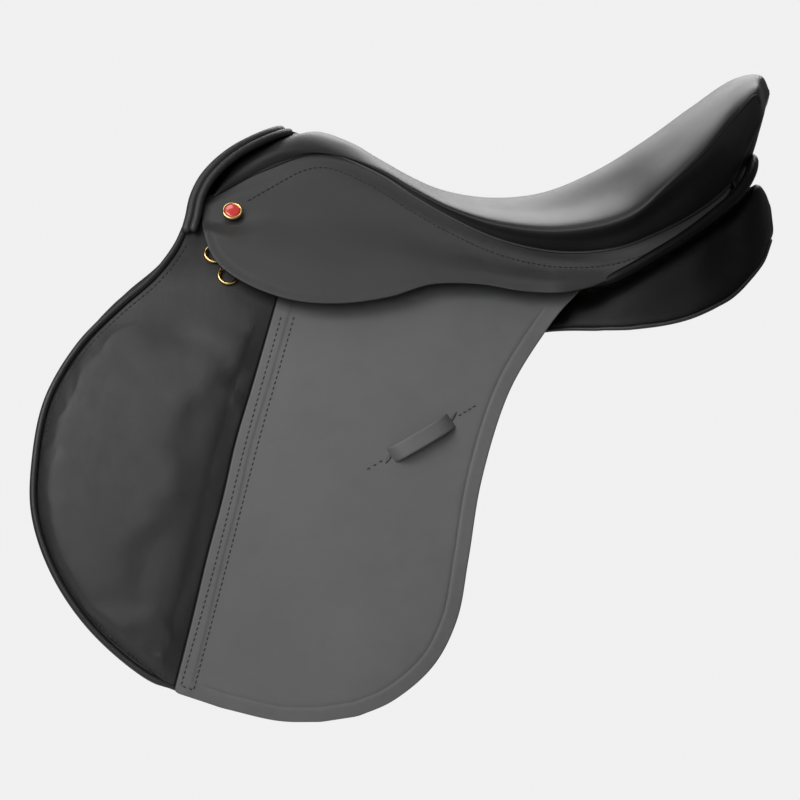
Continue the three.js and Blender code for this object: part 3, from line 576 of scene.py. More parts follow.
def leather(name, tone, rough, grain=0.00006, grain_scale=900, creases=0.00018,
            specular=0.5, wear=0.5, cloud=1.0):
    """Dyed leather: a mottled tone, fine grain, faint creases, and paler rubbed edges."""
    n = Nodes(name)
    base = np.array([tone, tone, tone * 1.02])
    mottle = n.noise(7, 5, 0.6)
    fine = n.noise(70, 6, 0.65)
    patches = n.ramp(mottle, 0.3, 0.7, -0.13 * cloud, 0.13 * cloud)
    spread = n.math("ADD", patches, n.ramp(fine, 0.3, 0.7, -0.05, 0.05))
    darker, paler = base * 0.8, base * 1.2
    colour = n.mix(n.ramp(spread, -0.18, 0.18, 0, 1), tuple(darker), tuple(paler))
    pointed = n.add("ShaderNodeNewGeometry").outputs["Pointiness"]
    rubbed = n.math("MULTIPLY", n.ramp(pointed, 0.53, 0.6, 0, wear), n.ramp(fine, 0.3, 0.65, 0.3, 1))
    colour = n.mix(rubbed, colour, tuple(base * 1.9 + 0.01))
    # painted shade: this point attribute darkens the colour where shade falls, and raises the roughness
    painted_shade = n.add("ShaderNodeAttribute", attribute_name=PAINTED_SHADE).outputs["Fac"]
    colour = n.mix(painted_shade, colour, tuple(base * 0.1))
    wander = n.add("ShaderNodeTexNoise", {"Vector": n.place, "Scale": grain_scale * 0.4, "Detail": 2.0})
    bent = n.add("ShaderNodeMix", {"Factor": 0.0012}, data_type="VECTOR")
    sockets = [s for s in bent.inputs if s.type == "VECTOR"]
    n.link(n.place, sockets[0])
    n.link(wander.outputs["Color"], sockets[1])
    cell_at = next(s for s in bent.outputs if s.type == "VECTOR")
    pebble = n.cells(grain_scale, cell_at)
    pores = n.noise(grain_scale * 2.6, 2, 0.5)
    crease = n.noise(1, 4, 0.6, at=n.scaled(38, 26, 15))
    height = n.math("ADD", n.math("MULTIPLY", pebble, 0.8), n.math("MULTIPLY", pores, 0.25))
    normal = n.bump(crease, creases)
    normal = n.bump(height, grain, 1.0, normal)
    gloss = n.ramp(fine, 0.3, 0.7, rough - 0.05 * cloud, rough + 0.06 * cloud)
    gloss = n.math("ADD", gloss, n.ramp(mottle, 0.3, 0.7, -0.04 * cloud, 0.04 * cloud))
    gloss = n.math("SUBTRACT", gloss, n.math("MULTIPLY", rubbed, 0.1))
    gloss = n.math("ADD", gloss, n.math("MULTIPLY", painted_shade, 0.35), clamp=True)
    return n.finish(colour, gloss, normal, Specular_IOR_Level=specular)


def thread(name, tone):
    """Waxed thread with its twist."""
    n = Nodes(name)
    twist = n.noise(1500, 2, 0.5)
    colour = n.mix(twist, (tone * 0.6,) * 3, (tone * 1.4,) * 3)
    return n.finish(colour, n.ramp(twist, 0.3, 0.7, 0.45, 0.65), n.bump(twist, 0.0001))


def metal(name, colour, rough, brushed=0.0):
    """Polished or brushed metal with faint handling marks."""
    n = Nodes(name)
    marks = n.noise(1, 3, 0.6, at=n.scaled(120, 900, 900) if brushed else n.scaled(260, 260, 260))
    dull = n.noise(60, 4, 0.6)
    tarnish = n.mix(n.ramp(dull, 0.35, 0.75, 0, 0.5), colour, tuple(0.55 * np.array(colour)))
    gloss = n.math("ADD", n.ramp(marks, 0.3, 0.7, rough - 0.05, rough + 0.08 + brushed), 0.0, clamp=True)
    return n.finish(tarnish, gloss, n.bump(marks, 0.00002 + 0.00004 * brushed), Metallic=1.0)


def enamel(name, colour):
    """Glossy enamel with a faint cloud in it."""
    n = Nodes(name)
    cloud = n.noise(300, 3, 0.6)
    paint = n.mix(cloud, tuple(0.8 * np.array(colour)), tuple(1.15 * np.array(colour)))
    return n.finish(paint, n.ramp(cloud, 0.3, 0.7, 0.14, 0.22), n.bump(cloud, 0.00003), Coat_Weight=0.6)


def wood(name):
    """Laminated beech under dark varnish."""
    n = Nodes(name)
    rings = n.noise(1, 5, 0.6, at=n.scaled(16, 90, 120))
    flecks = n.noise(1, 3, 0.7, at=n.scaled(110, 700, 700))
    plies = n.add("ShaderNodeTexWave", {"Vector": n.scaled(1, 1, 1), "Scale": 180.0, "Distortion": 1.5},
                  bands_direction="Z").outputs["Fac"]
    tone = n.math("ADD", n.math("MULTIPLY", rings, 0.7), n.math("MULTIPLY", flecks, 0.3))
    colour = n.mix(n.ramp(tone, 0.35, 0.68, 0, 1), (0.06, 0.037, 0.022), (0.12, 0.075, 0.045))
    colour = n.mix(n.ramp(plies, 0.75, 1, 0, 0.35), colour, (0.03, 0.018, 0.01))
    return n.finish(colour, n.ramp(flecks, 0.3, 0.7, 0.38, 0.55), n.bump(tone, 0.0002))


def webbing(name, pale, dark):
    """Coarse woven web: two sets of yarns that cross."""
    n = Nodes(name)
    waves = []
    for direction in ("X", "Y"):
        settings = {"Vector": n.place, "Scale": 160.0, "Distortion": 0.6, "Detail": 2.0}
        waves.append(n.add("ShaderNodeTexWave", settings, bands_direction=direction).outputs["Fac"])
    weave = n.math("MAXIMUM", *waves)
    fuzz = n.noise(900, 4, 0.7)
    tone = n.math("MULTIPLY", weave, n.ramp(fuzz, 0.2, 0.8, 0.6, 1))
    colour = n.mix(tone, dark, pale)
    return n.finish(colour, n.ramp(fuzz, 0.3, 0.7, 0.85, 0.97), n.bump(tone, 0.0006), Sheen_Weight=0.25)


def foam(name):
    """Latex foam with open cells."""
    n = Nodes(name)
    pores = n.cells(420)
    cloud = n.noise(40, 4, 0.6)
    colour = n.mix(n.ramp(pores, 0.05, 0.5, 0, 1), (0.4, 0.34, 0.22), (0.72, 0.66, 0.5))
    colour = n.mix(n.ramp(cloud, 0.4, 0.8, 0, 0.4), colour, (0.62, 0.5, 0.3))
    return n.finish(colour, n.ramp(pores, 0, 0.6, 0.98, 0.85), n.bump(pores, 0.0006))


LOOKS = {
    "flap": leather("flap_leather", 0.088, 0.5, grain=0.00008, creases=0.00012, wear=0.35),
    "flap_dark": leather("edge_leather", 0.03, 0.42, grain=0.00004, wear=0.3),
    "skirt": leather("skirt_leather", 0.029, 0.46, grain=0.00007, creases=0.0001, specular=0.4, wear=0.35),
    "soft": leather("soft_leather", 0.0145, 0.5, grain=0.00008, grain_scale=620, creases=0.0005, wear=0.4),
    "seat": leather("seat_leather", 0.011, 0.42, grain=0.00004, grain_scale=1000, creases=0.000005,
                    specular=0.24, wear=0.2, cloud=0.3),
    "panel": leather("panel_leather", 0.0034, 0.36, creases=0.0002, specular=0.12, wear=0.15),
    "piping": leather("piping_leather", 0.014, 0.38, 0.00005, creases=0.0001, specular=0.35, wear=0.3),
    "under": leather("under_leather", 0.03, 0.6, grain=0.0001, creases=0.0003, wear=0.3),
    "thread": thread("stitch_thread", 0.012),
    "brass": metal("brass", (0.78, 0.55, 0.22), 0.18),
    "steel": metal("brushed_steel", (0.6, 0.6, 0.62), 0.3, brushed=0.1),
    "spring": metal("spring_steel", (0.09, 0.095, 0.11), 0.42, brushed=0.1),
    "enamel": enamel("red_enamel", (0.55, 0.045, 0.035)),
    "wood": wood("beech_ply"),
    "webbing": webbing("tree_web", (0.6, 0.54, 0.42), (0.22, 0.18, 0.12)),
    "girth_web": webbing("girth_web", (0.5, 0.47, 0.4), (0.12, 0.1, 0.08)),
    "foam": foam("latex_foam"),
}


# ---------------------------------------------------------------- finished pieces


def dress(obj, look):
    """Gives a piece its material and its rest places for the grain."""
    obj.data.materials.clear()
    obj.data.materials.append(LOOKS[look])
    count = len(obj.data.vertices)
    places = np.zeros(count * 3, np.float32)
    obj.data.vertices.foreach_get("co", places)
    attribute = obj.data.attributes.new(GRAIN_AT, "FLOAT_VECTOR", "POINT")
    attribute.data.foreach_set("vector", places)


def paint_shade(obj, painted_shade):
    """Sets each point's painted shade, which darkens its leather's colour and makes it duller."""
    obj.data.attributes.new(PAINTED_SHADE, "FLOAT", "POINT").data.foreach_set("value", np.asarray(painted_shade, np.float32))


def piece(name, body, look, rides, side=1, replaces=()):
    """A finished piece from points and faces; rides is a CAD body, or two with where the bend lies."""
    obj = mesh_object(name, *body, side=side)
    dress(obj, look)
    settle(obj, rides)
    if replaces:
        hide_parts(*replaces)
    return obj


def settle(obj, rides):
    """Makes a piece move with its body, or bend between its two bodies."""
    if isinstance(rides, str):
        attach(obj, rides)
    else:
        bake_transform(obj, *rides)


def flap_bend(side_name):
    """The flap's leather bends just below its bending line."""
    return ("tree", f"{side_name}_flap", (0, 0, FLAP_HINGE_Z * MM), (0, 0, (FLAP_HINGE_Z - 24) * MM))


def skirt_bend(side_name):
    """The skirt's leather bends across its slanting line."""
    (x0, z0), (x1, z1) = SKIRT_HINGE
    along = np.array([x1 - x0, z1 - z0], float)
    along /= np.linalg.norm(along)
    down = np.array([along[1], -along[0]])
    start = np.array([x0, z0], float)
    end = start + 20 * down
    return ("tree", f"{side_name}_skirt", (start[0] * MM, 0, start[1] * MM), (end[0] * MM, 0, end[1] * MM))


def refined(node, look, body, bevel=0.4, angle=32, shrink=0.0):
    """A CAD node's shape with its edges eased and its flats kept, standing for the node."""
    obj = bpy.data.objects.new(f"{node}_made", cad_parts[node].data.copy())
    bpy.context.scene.collection.objects.link(obj)
    made = bmesh.new()
    made.from_mesh(obj.data)
    bmesh.ops.remove_doubles(made, verts=made.verts, dist=1e-5)
    bmesh.ops.dissolve_limit(made, angle_limit=math.radians(1), verts=made.verts, edges=made.edges)
    made.normal_update()
    if shrink:
        for vertex in made.verts:
            vertex.co -= vertex.normal * shrink * MM
    for face in made.faces:
        face.smooth = True
    for edge in made.edges:
        sharp = edge.is_manifold and edge.calc_face_angle(0) > math.radians(angle)
        edge.smooth = not sharp
    made.to_mesh(obj.data)
    made.free()
    for name in [a.name for a in obj.data.attributes if a.name.startswith(("UV", "custom"))]:
        obj.data.attributes.remove(obj.data.attributes[name])
    if bevel:
        eased = obj.modifiers.new("eased", "BEVEL")
        eased.width = bevel * MM
        eased.segments = 2
        eased.limit_method = "ANGLE"
        eased.angle_limit = math.radians(angle)
        eased.use_clamp_overlap = True
    dress(obj, look)
    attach(obj, body)
    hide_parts(node)


CLOTH_STEPS = 20
CLOTH_EVENINGS = 4  # how often each point's move is evened out with its neighbours'


def swelled(points, faces, held, pressure, cap, slack):
    """The body after cloth has settled under pressure from inside.

    Held points stay, none moves further than cap, and slack is how much the leather may stretch."""
    obj = mesh_object("cloth_trial", points, faces)
    keep = obj.vertex_groups.new(name="held")
    keep.add([int(i) for i in np.flatnonzero(held)], 1.0, "REPLACE")
    cloth = obj.modifiers.new("cloth", "CLOTH")
    cloth.settings.quality = 8
    cloth.settings.mass = 0.3
    cloth.settings.tension_stiffness = 12
    cloth.settings.compression_stiffness = 12
    cloth.settings.bending_stiffness = 1.2
    cloth.settings.use_pressure = True
    cloth.settings.uniform_pressure_force = pressure
    cloth.settings.shrink_min = -slack
    cloth.settings.effector_weights.gravity = 0
    cloth.settings.vertex_group_mass = "held" if held.any() else ""
    cloth.collision_settings.use_collision = False
    for step in range(1, CLOTH_STEPS + 1):
        bpy.context.scene.frame_set(step)
    evaluated = obj.evaluated_get(bpy.context.evaluated_depsgraph_get())
    after = np.zeros(len(points) * 3)
    evaluated.data.vertices.foreach_get("co", after)
    moved = after.reshape(-1, 3) / MM - points
    pairs = np.array([edge.vertices[:] for edge in obj.data.edges])
    neighbours = np.maximum(1, np.bincount(pairs.ravel(), minlength=len(points)))[:, None]
    bpy.data.objects.remove(obj)
    bpy.context.scene.frame_set(1)
    far = np.linalg.norm(moved, axis=1)
    moved *= np.minimum(1, cap / np.maximum(far, 1e-6))[:, None]
    for _ in range(CLOTH_EVENINGS):
        total = np.zeros_like(moved)
        np.add.at(total, pairs[:, 0], moved[pairs[:, 1]])
        np.add.at(total, pairs[:, 1], moved[pairs[:, 0]])
        moved = 0.5 * moved + 0.5 * total / neighbours
    return points + moved


# ---------------------------------------------------------------- seat, pommel and cantle

SEAT_STEPS = 120
SEAT_SIDE_STEPS = 34
LAP = 0.04  # how far the seat's leather runs on under the bands, as a share of its length
CREST_V = 0.5
FOOT_TUCKS = [(0, -2.8, -3.6), (0, -1.4, -1.2)]
POMMEL_LINE = [
    (-243, 88, 27), (-240.5, 83, 36), (-237.5, 75, 50), (-231, 66, 64), (-221, 57, 76),
    (-206, 45, 88), (-189, 32, 97), (-175, 16, 102.5), (-169, 0, 104),
]


def lap_at(v):
    """Where the seat's leather ends, under the front arch's bands."""
    return spline(BAND, (v + 1) / 2)


def make_seat():
    """The seat's leather: it laps under the front arch's bands, and is drawn in below the cantle's crest.

    Also gives each point's painted shade: the drawn-in sides, which face downwards, are painted darker and
    made duller."""
    us = np.linspace(0, 1, SEAT_STEPS + 1)
    vs = np.linspace(-1, 1, 2 * SEAT_SIDE_STEPS + 1)
    outer, inner, painted_shade = [], [], []
    for u in [-LAP, -0.034, -0.027, -0.02, -0.013, -0.006, *us]:
        row, under, shade = [], [], []
        strength = float(smooth(0.6, 0.78, u))
        for v in vs:
            at, out = seat_point(max(u, 0), v), seat_out(max(u, 0), v)
            if u < 0:
                at = at + (lap_at(-v) - at) * (u / -LAP)
                rise = 1 + 9.5 * float(smooth(0.1, 0.5, abs(v)))
                at = at + out * rise * math.sin(0.85 * math.pi * u / -LAP)
            spread = (1 - smooth(-LAP, 0.14, u)) * smooth(0.4, 0.8, abs(v))
            at = at + np.array([0, math.copysign(5, v), 0]) * spread
            from_crest = abs(v) - CREST_V
            crest = math.exp(-((from_crest / 0.035) ** 2)) * 1.4 * strength
            hollow = math.exp(-(((from_crest - 0.13) / 0.09) ** 2)) * 2.6 * strength
            foot = math.exp(-(((1 - abs(v)) / 0.06) ** 2)) * 0.8
            row.append(at + out * (crest - hollow - foot))
            under.append(at - out * 2.3)
            # painted shade on the seat's sides below the crest, towards the cantle, where they turn downwards
            shade.append(0.35 * float(smooth(0, 0.05, from_crest) * smooth(0.45, 0.75, u)))
        for points in (row, under):
            first, last = points[0], points[-1]
            before = [first + np.array(t) * ACROSS for t in FOOT_TUCKS]
            after = [last + np.array(t) for t in reversed(FOOT_TUCKS)]
            points[:] = before + points + after
        shade = [shade[0]] * 2 + shade + [shade[-1]] * 2
        outer.append(row)
        inner.append(under)
        painted_shade.append(shade)
    painted_shade = np.ravel(painted_shade)
    return grid_shell(np.array(outer), np.array(inner)), np.concatenate([painted_shade, painted_shade])


def seat_line(v, u0, u1, raise_by=0.0, count=90):
    """A line along the seat at one v."""
    return [seat_point(u, v) + seat_out(u, v) * raise_by for u in np.linspace(u0, u1, count)]


def both_sides(line, radius):
    """A welt along a line of the seat, and its mirror image."""
    line = np.array(line)
    return [tube(line, radius, 8), tube(line * ACROSS, radius, 8)]


def pommel_line(back=0.0):
    """The front arch's roll, or the cord this far behind it."""
    half = np.array(POMMEL_LINE, float)
    shifted = []
    for i, point in enumerate(half):
        step = 0.01
        t = i / (len(half) - 1)
        along = spline(half, min(1, t + step)) - spline(half, max(0, t - step))
        if i == len(half) - 1:
            along = np.array([0.0, -1, 0])
        along /= np.linalg.norm(along)
        up = point - (-185, 0, 40)
        away = np.cross(up, along)
        shifted.append(point + away / np.linalg.norm(away) * back)
    far = [p * ACROSS for p in shifted[:-1]][::-1]
    return run([*shifted, *far], 2.2)


BAND = pommel_line(4.5)[::-1]


def make_head_facing():
    """The leather from under the bands down to the gullet's roof."""
    vs = np.linspace(-1, 1, 61)
    ends = [(seat_point(0, v), seat_out(0, v), lap_at(-v)) for v in vs]

    def face(ahead, puff):
        rows = []
        for t in np.linspace(0, 1, 14):
            swell = puff * math.sin(math.pi * t)
            rows.append([lap + (at - out * 28 - lap) * t - (ahead + swell, 0, 0) for at, out, lap in ends])
        return np.array(rows)

    return grid_shell(face(1.6, 1.5), face(-0.6, 0))


RIM_VS = np.linspace(-0.95, 0.95, 61)


def rim_point(v, depth, behind):
    """A point of the cantle's rim, this deep in from the seat's face and this far behind it."""
    at = seat_point(1, v)
    out = at - seat_heart(1)
    out /= np.linalg.norm(out)
    return at - out * depth + (behind, 0, 0)


def make_cantle_facing():
    """The leather down the cantle's back, a little puffed between its seams."""

    def face(behind, puff):
        rows = []
        for t in np.linspace(0, 1, 16):
            row = []
            for v in RIM_VS:
                rim = rim_point(v, 3.2, behind - 2.2)
                foot = np.array([183 + 14 * (1 - abs(rim[1]) / 80) + behind, rim[1], 54])
                swell = (2 + puff) * math.sin(math.pi * t)
                row.append(rim + (foot - rim) * t + (swell, 0, 0))
            rows.append(row)
        return np.array(rows)

    return grid_shell(face(2.4, 0.8), face(0.6, 0))


def build_centre():
    """The seat, the front arch, the cantle and the tree with its webs and foam."""
    body, painted_shade = make_seat()
    seat = piece("seat_leather_top", body, "seat", "tree", replaces=["seat_cover"])
    # the seat's downward-facing sides get painted shade
    paint_shade(seat, painted_shade)
    crest = both_sides(seat_line(CREST_V, 0.66, 0.96, 1.1), np.linspace(0.25, 0.75, 90))
    piece("seat_crest_welts", joined(crest), "seat", "tree")
    foot = both_sides(seat_line(0.985, 0.01, 0.995, 0.4, 160), 1.4)
    second = both_sides(seat_line(0.94, 0.01, 0.3, 0.5, 70), 1.1)
    piece("seat_seam_welts", joined(foot + second), "piping", "tree")
    for name, body, look, slot, node, fill in (
        ("head_leather", make_head_facing(), "soft", "panel_leather", "head_facing", 0.8),
        ("pommel_band_front", tube(pommel_line(), 3.9, 16), "soft", "soft_leather", "pommel_roll", 1.0),
        ("pommel_band_rear", tube(pommel_line(6.8), 3.3, 16), "soft", "soft_leather", "pommel_piping", 1.0),
        ("cantle_leather", make_cantle_facing(), "seat", "panel_leather", "cantle_facing", 0.8),
    ):
        piece(name, body, look, "tree", replaces=[node])
    rim = run([rim_point(v, 1.7, -1.2) for v in RIM_VS[::4]], 2.5)
    piece("cantle_cord", tube(rim, 1.9, 14), "piping", "tree",
          replaces=["cantle_piping"])
    refined("tree_frame", "wood", "tree", 0.5, 40, shrink=0.5)
    refined("gullet_plate", "spring", "tree", 0.3)
    refined("seat_web_long", "webbing", "tree", 0)
    refined("seat_web_cross", "webbing", "tree", 0)
    refined("seat_foam", "foam", "tree", 0, shrink=1.6)


# ---------------------------------------------------------------- flap and knee insert

FLAP_FRONT = [
    (-246, 30), (-253, 15), (-270, -7), (-297, -30), (-326, -59), (-350, -100), (-359, -145), (-359, -185),
    (-344, -229), (-315, -271), (-274, -306), (-252, -316),
]
FLAP_BOTTOM = [(-252, -316), (-217, -328), (-174, -338), (-143, -339)]
FLAP_REAR = [
    (-143, -339), (-115, -335), (-89, -324), (-58, -298), (-40, -264), (-31, -220), (-20, -161), (3, -95),
    (32, -51), (45, -35), (60, -20),
]
FLAP_TOP = [(61, -10), (35, -2), (0, 6), (-60, 22), (-117, 26)]
INSERT_BACK = [
    (-170, -16), (-192, -89), (-205, -131), (-215, -173), (-227, -217), (-238, -262), (-252, -316),
]
INSERT_FRONT = [
    (-242, 33), (-244, 22), (-248, 12), (-265, -10), (-292.5, -34), (-320, -62), (-343.5, -102),
    (-352.5, -145), (-352.5, -185), (-338, -227), (-310, -267), (-270.5, -300.5), (-254, -312),
]
STITCHES_FRONT = [(-170.5, -39), (-196.5, -127), (-223, -228), (-247, -311)]
STITCHES_REAR = [(-160.5, -39), (-187, -127), (-212.5, -222), (-237.5, -314.5)]
# how far out of the side surface each layer's back and face lie
BACKING = (0.0, 2.0)
FIRM = (2.05, 4.6)
INSERT = (2.05, 3.9)
PAD_RISE = 9.4
PIPING_RADIUS = 2.9
CREASE_IN = 11.2  # from the firm leather's edge to the line creased round it


def distance_to(line, x, z):
    """How far points in x and z are from a line."""
    at = np.stack([np.ravel(x), np.ravel(z)], axis=1)
    gaps = np.array([np.linalg.norm(line - place, axis=1).min() for place in at])
    return gaps.reshape(np.shape(x)) if np.ndim(x) else float(gaps[0])


FRONT_LINE = run(INSERT_FRONT, 2)
BACK_LINE = run(INSERT_BACK, 2)


def pad_face(x, z, e):
    """The knee insert's outer face: flat at the top, filled below, falling away to its seams."""
    x = np.asarray(x, float)
    z = np.asarray(z, float)
    front = np.clip(distance_to(FRONT_LINE, x, z) / 20, 0, 1)
    rear = np.clip(distance_to(BACK_LINE, x, z) / 34, 0, 1)
    crown = (1 - (1 - front) ** 2.4) * (1 - (1 - rear) ** 1.9)
    length = (1 - smooth(-130, 6, z)) * (0.25 + 0.75 * smooth(-322, -262, z))
    below = 1 - smooth(-52, -18, z)
    rise = 2.2 * below * np.minimum(1, front * 2) * np.minimum(1, rear * 2)
    return INSERT[1] + rise + PAD_RISE * crown * length * (0.3 + 0.7 * below)


def flat_face(out):
    """A face that lies this far out everywhere."""
    return lambda x, z, e: out + 0 * np.asarray(x, float)


def firm_face(x, z, e):
    """The firm leather's outer face, with a creased line round its free edges."""
    x = np.asarray(x, float)
    z = np.asarray(z, float)
    free = smooth(14, 26, distance_to(BACK_LINE, x, z)) * (1 - smooth(-40, -22, z))
    crease = np.exp(-(((e - CREASE_IN) / 0.8) ** 2)) * 0.55
    thin = 0.5 * (1 - np.minimum(1, e / CREASE_IN))
    return flap_outer(x, z) - (crease + thin) * free


def flap_outer(x, z):
    """The firm leather's face, a little higher in the strip along the insert."""
    return FIRM[1] + 0.5 * (1 - smooth(10, 12.5, distance_to(BACK_LINE, x, z)))


def make_insert():
    """The insert's leather before its filling swells it."""
    back = [(x - 1.2, z) for x, z in INSERT_BACK[::-1]]
    line = closed_line(INSERT_FRONT, back, [(-197, -16), (-199, 20)], [(-213, 41), (-231, 38)], step=3.6)
    return leather_sheet(line, pad_face, flat_face(INSERT[0]), corner=0.8, pitch=5)


def swelled_insert():
    """The insert after its filling has pushed its leather out between the seams."""
    points, faces = make_insert()
    x, z = points[:, 0], points[:, 2]
    out = points[:, 1] - side_at(x, z)
    high = (out - INSERT[1]) / PAD_RISE
    free = (high > 0.3) & (z < -45)
    return swelled(points, faces, ~free, 3.0, 2.2, slack=0.035), faces


def make_backing():
    """The soft leather under the whole flap."""
    line = closed_line([(-262, -16), *FLAP_FRONT[3:]], FLAP_BOTTOM[1:], FLAP_REAR[1:], FLAP_TOP,
                       [(-121, -16)], [(-230, -16)])
    line = line + inward(line) * 0.7
    return leather_sheet(line, flat_face(BACKING[1]), flat_face(BACKING[0]), corner=0.7, pitch=8)


def make_firm():
    """The firm leather behind the insert."""
    line = closed_line(INSERT_BACK, FLAP_BOTTOM[1:], FLAP_REAR[1:], FLAP_TOP, [(-121, -16)], rounding=1)
    return leather_sheet(line, firm_face, flat_face(FIRM[0]), corner=1.0)


def make_flap_piping():
    """The cord sewn in along the flap's front edge, and the line its stitches follow."""
    line = run(FLAP_FRONT, 3)
    along = np.gradient(line, axis=0)
    along /= np.linalg.norm(along, axis=1)[:, None]
    into = np.stack([-along[:, 1], along[:, 0]], axis=1)
    if into[len(into) // 2, 0] < 0:
        into = -into
    centre = line + into * PIPING_RADIUS
    path = [on_side(x, z, PIPING_RADIUS) for x, z in centre]
    radii = np.full(len(path), PIPING_RADIUS)
    radii[-6:] = np.linspace(PIPING_RADIUS, 1.6, 6)
    return tube(path, radii, 14), line + into * 8.6


KEEPER_LENGTH = 55


def make_keeper():
    """The strap across the flap: its ends go into slots, and its middle stands off."""
    upper = np.array([[-93, -138], [-45, -111]], float)
    lower = np.array([[-86, -148], [-38, -121]], float)
    climb = [[0, -3.6], [0.03, -1], [0.08, 2.2], [0.16, 5], [0.3, 6.4]]
    rise = np.array([*climb, [0.5, 6.8], *[[1 - t, lift] for t, lift in reversed(climb)]])
    height = run(rise * (KEEPER_LENGTH, 1), 1.0)
    ts = height[:, 0] / KEEPER_LENGTH
    across = np.concatenate([[0, 0.03, 0.08], np.linspace(0.16, 0.84, 9), [0.92, 0.97, 1]])

    def face(thick):
        rows = []
        for t, lift in zip(ts, height[:, 1]):
            row = []
            for a in across:
                edge = min(a, 1 - a)
                soft = 0.75 * (1 - min(1, edge / 0.08)) ** 2
                above = upper[0] * (1 - t) + upper[1] * t
                below = lower[0] * (1 - t) + lower[1] * t
                x, z = above * (1 - a) + below * a
                out = 4.2 + lift + (thick - soft if thick else soft)
                row.append(on_side(x, z, out))
            rows.append(row)
        return np.array(rows)

    return grid_shell(face(2.6), face(0.0))


def make_keeper_slot_shade():
    """Dark discs where the strap's ends go into the flap: painted shade in the slots."""
    bodies = []
    for x, z in ((-88.7, -142.6), (-42.3, -116.4)):
        ring = []
        for k in range(24):
            turn = 2 * math.pi * k / 24
            ring.append((x + 1.3 * math.cos(turn), z + 7.2 * math.sin(turn)))
        lean = math.radians(-35)
        middle = np.array([x, z])
        turn_by = np.array([[math.cos(lean), math.sin(lean)], [-math.sin(lean), math.cos(lean)]])
        line = (np.array(ring) - middle) @ turn_by + middle
        outer = np.array([on_side(a, b, 4.75) for a, b in line])
        inner = np.array([on_side(a, b, 3.8) for a, b in line])
        points = np.concatenate([outer, inner])
        bodies.append((points, capped(rings_faces(2, 24), 2, 24)))
    return joined(bodies)


def skirt_shadow(points, below, above):
    """Painted skirt shadow: 1 where points lie under the skirt, fading to 0 this far below its edge."""
    edge = np.array(SKIRT_LOWER[::-1], float)
    height = np.interp(points[:, 0], edge[2:, 0], edge[2:, 1])
    return smooth(below, above, points[:, 2] - height)


def build_flap(name, side, insert):
    """One side's flap with its insert, piping, stitches and keeper."""
    bend = flap_bend(name)
    flap = f"{name}_flap"
    piece(f"{name}_flap_backing", make_backing(), "under", bend, side)
    points, faces = make_firm()
    firm = piece(f"{name}_flap_leather", (points, faces), "flap", bend, side,
                 [f"{name}_flap", f"{name}_flap_head"])
    # painted shadow of the skirt on the flap's upper part
    paint_shade(firm, 0.75 * skirt_shadow(points, -9, 1))
    pad = piece(f"{name}_knee_insert", insert, "soft", bend, side, [f"{name}_knee_pad"])
    behind = distance_to(BACK_LINE, insert[0][:, 0], insert[0][:, 2])
    # painted shade in the insert's hollow along the firm leather, and painted shadow under the skirt
    recess_shade = 0.5 * (1 - smooth(0, 24, behind))
    paint_shade(pad, np.maximum(recess_shade, 0.55 * skirt_shadow(insert[0], -22, 2)))
    strip = closed_line([(-199, 15.5), (-119, 15.5)], [(-119, 42), (-150, 50), (-197, 46)], rounding=1)
    body = leather_sheet(strip, flat_face(3.8), flat_face(0.2), corner=0.8)
    piece(f"{name}_flap_nailed_edge", body, "flap", "tree", side)
    cord, seam = make_flap_piping()
    piece(f"{name}_flap_piping", cord, "piping", bend, side)
    stitches = stitch_row(seam[4:-3], lambda x, z: pad_face(x, z, 0) + 0.1)
    stitches += stitch_row(STITCHES_FRONT, flap_outer)
    stitches += stitch_row(STITCHES_REAR, flap_outer)
    stitches += stitch_row([STITCHES_FRONT[-1], STITCHES_REAR[-1]], flap_outer)
    piece(f"{name}_flap_stitches", joined(stitches), "thread", bend, side)
    piece(f"{name}_keeper_strap", make_keeper(), "flap", flap, side, [f"{name}_keeper"])
    # the slot discs are dark leather standing for the shade in the slots
    piece(f"{name}_keeper_slots", make_keeper_slot_shade(), "flap_dark", flap, side)
    tails = stitch_row([(-108, -153.5), (-94, -145.5)], lambda x, z: FIRM[1])
    tails += stitch_row([(-37.5, -114), (-23, -105.5)], lambda x, z: FIRM[1])
    piece(f"{name}_keeper_stitches", joined(tails), "thread", flap, side)


# ---------------------------------------------------------------- skirt, sweat flap and billets

SKIRT_LOWER = [
    (173, 46), (161, 36), (140, 21.5), (120, 10.5), (99, -0.5), (75, -14.5), (44, -21), (13, -20), (-18, -15),
    (-56, -15), (-87, -24), (-126, -29), (-164, -26), (-201, -12), (-222, 5), (-231, 32), (-230.5, 44),
]
SWEAT_LINE = [
    (-219, -4), (-285, -44), (-330, -100), (-342, -165), (-328, -222), (-285, -275), (-226, -306),
    (-158, -320), (-110, -308), (-64, -264), (-44, -206), (-30, -141), (-8, -88), (26, -39), (38, -4),
]
SWEAT = (-13.2, -10.2)


def skirt_face(x, z, e):
    """The skirt's outer face, with a line creased round its edge."""
    return skirt_inner(x, z) + LEATHER - 0.35 * np.exp(-(((e - 5.4) / 0.9) ** 2))


def skirt_back(x, z, e):
    return skirt_inner(x, z)


def make_skirt():
    """The skirt's leather, from the seat's foot down to its curved lower edge."""
    xs = np.linspace(-228, 182, 60)
    upper = np.stack([xs, seam_at(xs) + 0.6], axis=1)
    line = closed_line(upper, [(182, 56), *SKIRT_LOWER], step=2.5, rounding=1)
    return leather_sheet(line, skirt_face, skirt_back, pitch=5)


def skirt_stitch_line():
    """A line of stitches that follows the seat's foot."""
    xs = np.linspace(-203, 158, 26)
    slope = (seam_at(xs + 2) - seam_at(xs - 2)) / 4
    length = np.sqrt(1 + slope**2)
    inset = 10.5 + 5 * (1 - smooth(-205, -150, xs)) - 2 * smooth(60, 150, xs)
    return [(x + s / n * d, z - d / n) for x, z, s, n, d in zip(xs, seam_at(xs), slope, length, inset)]


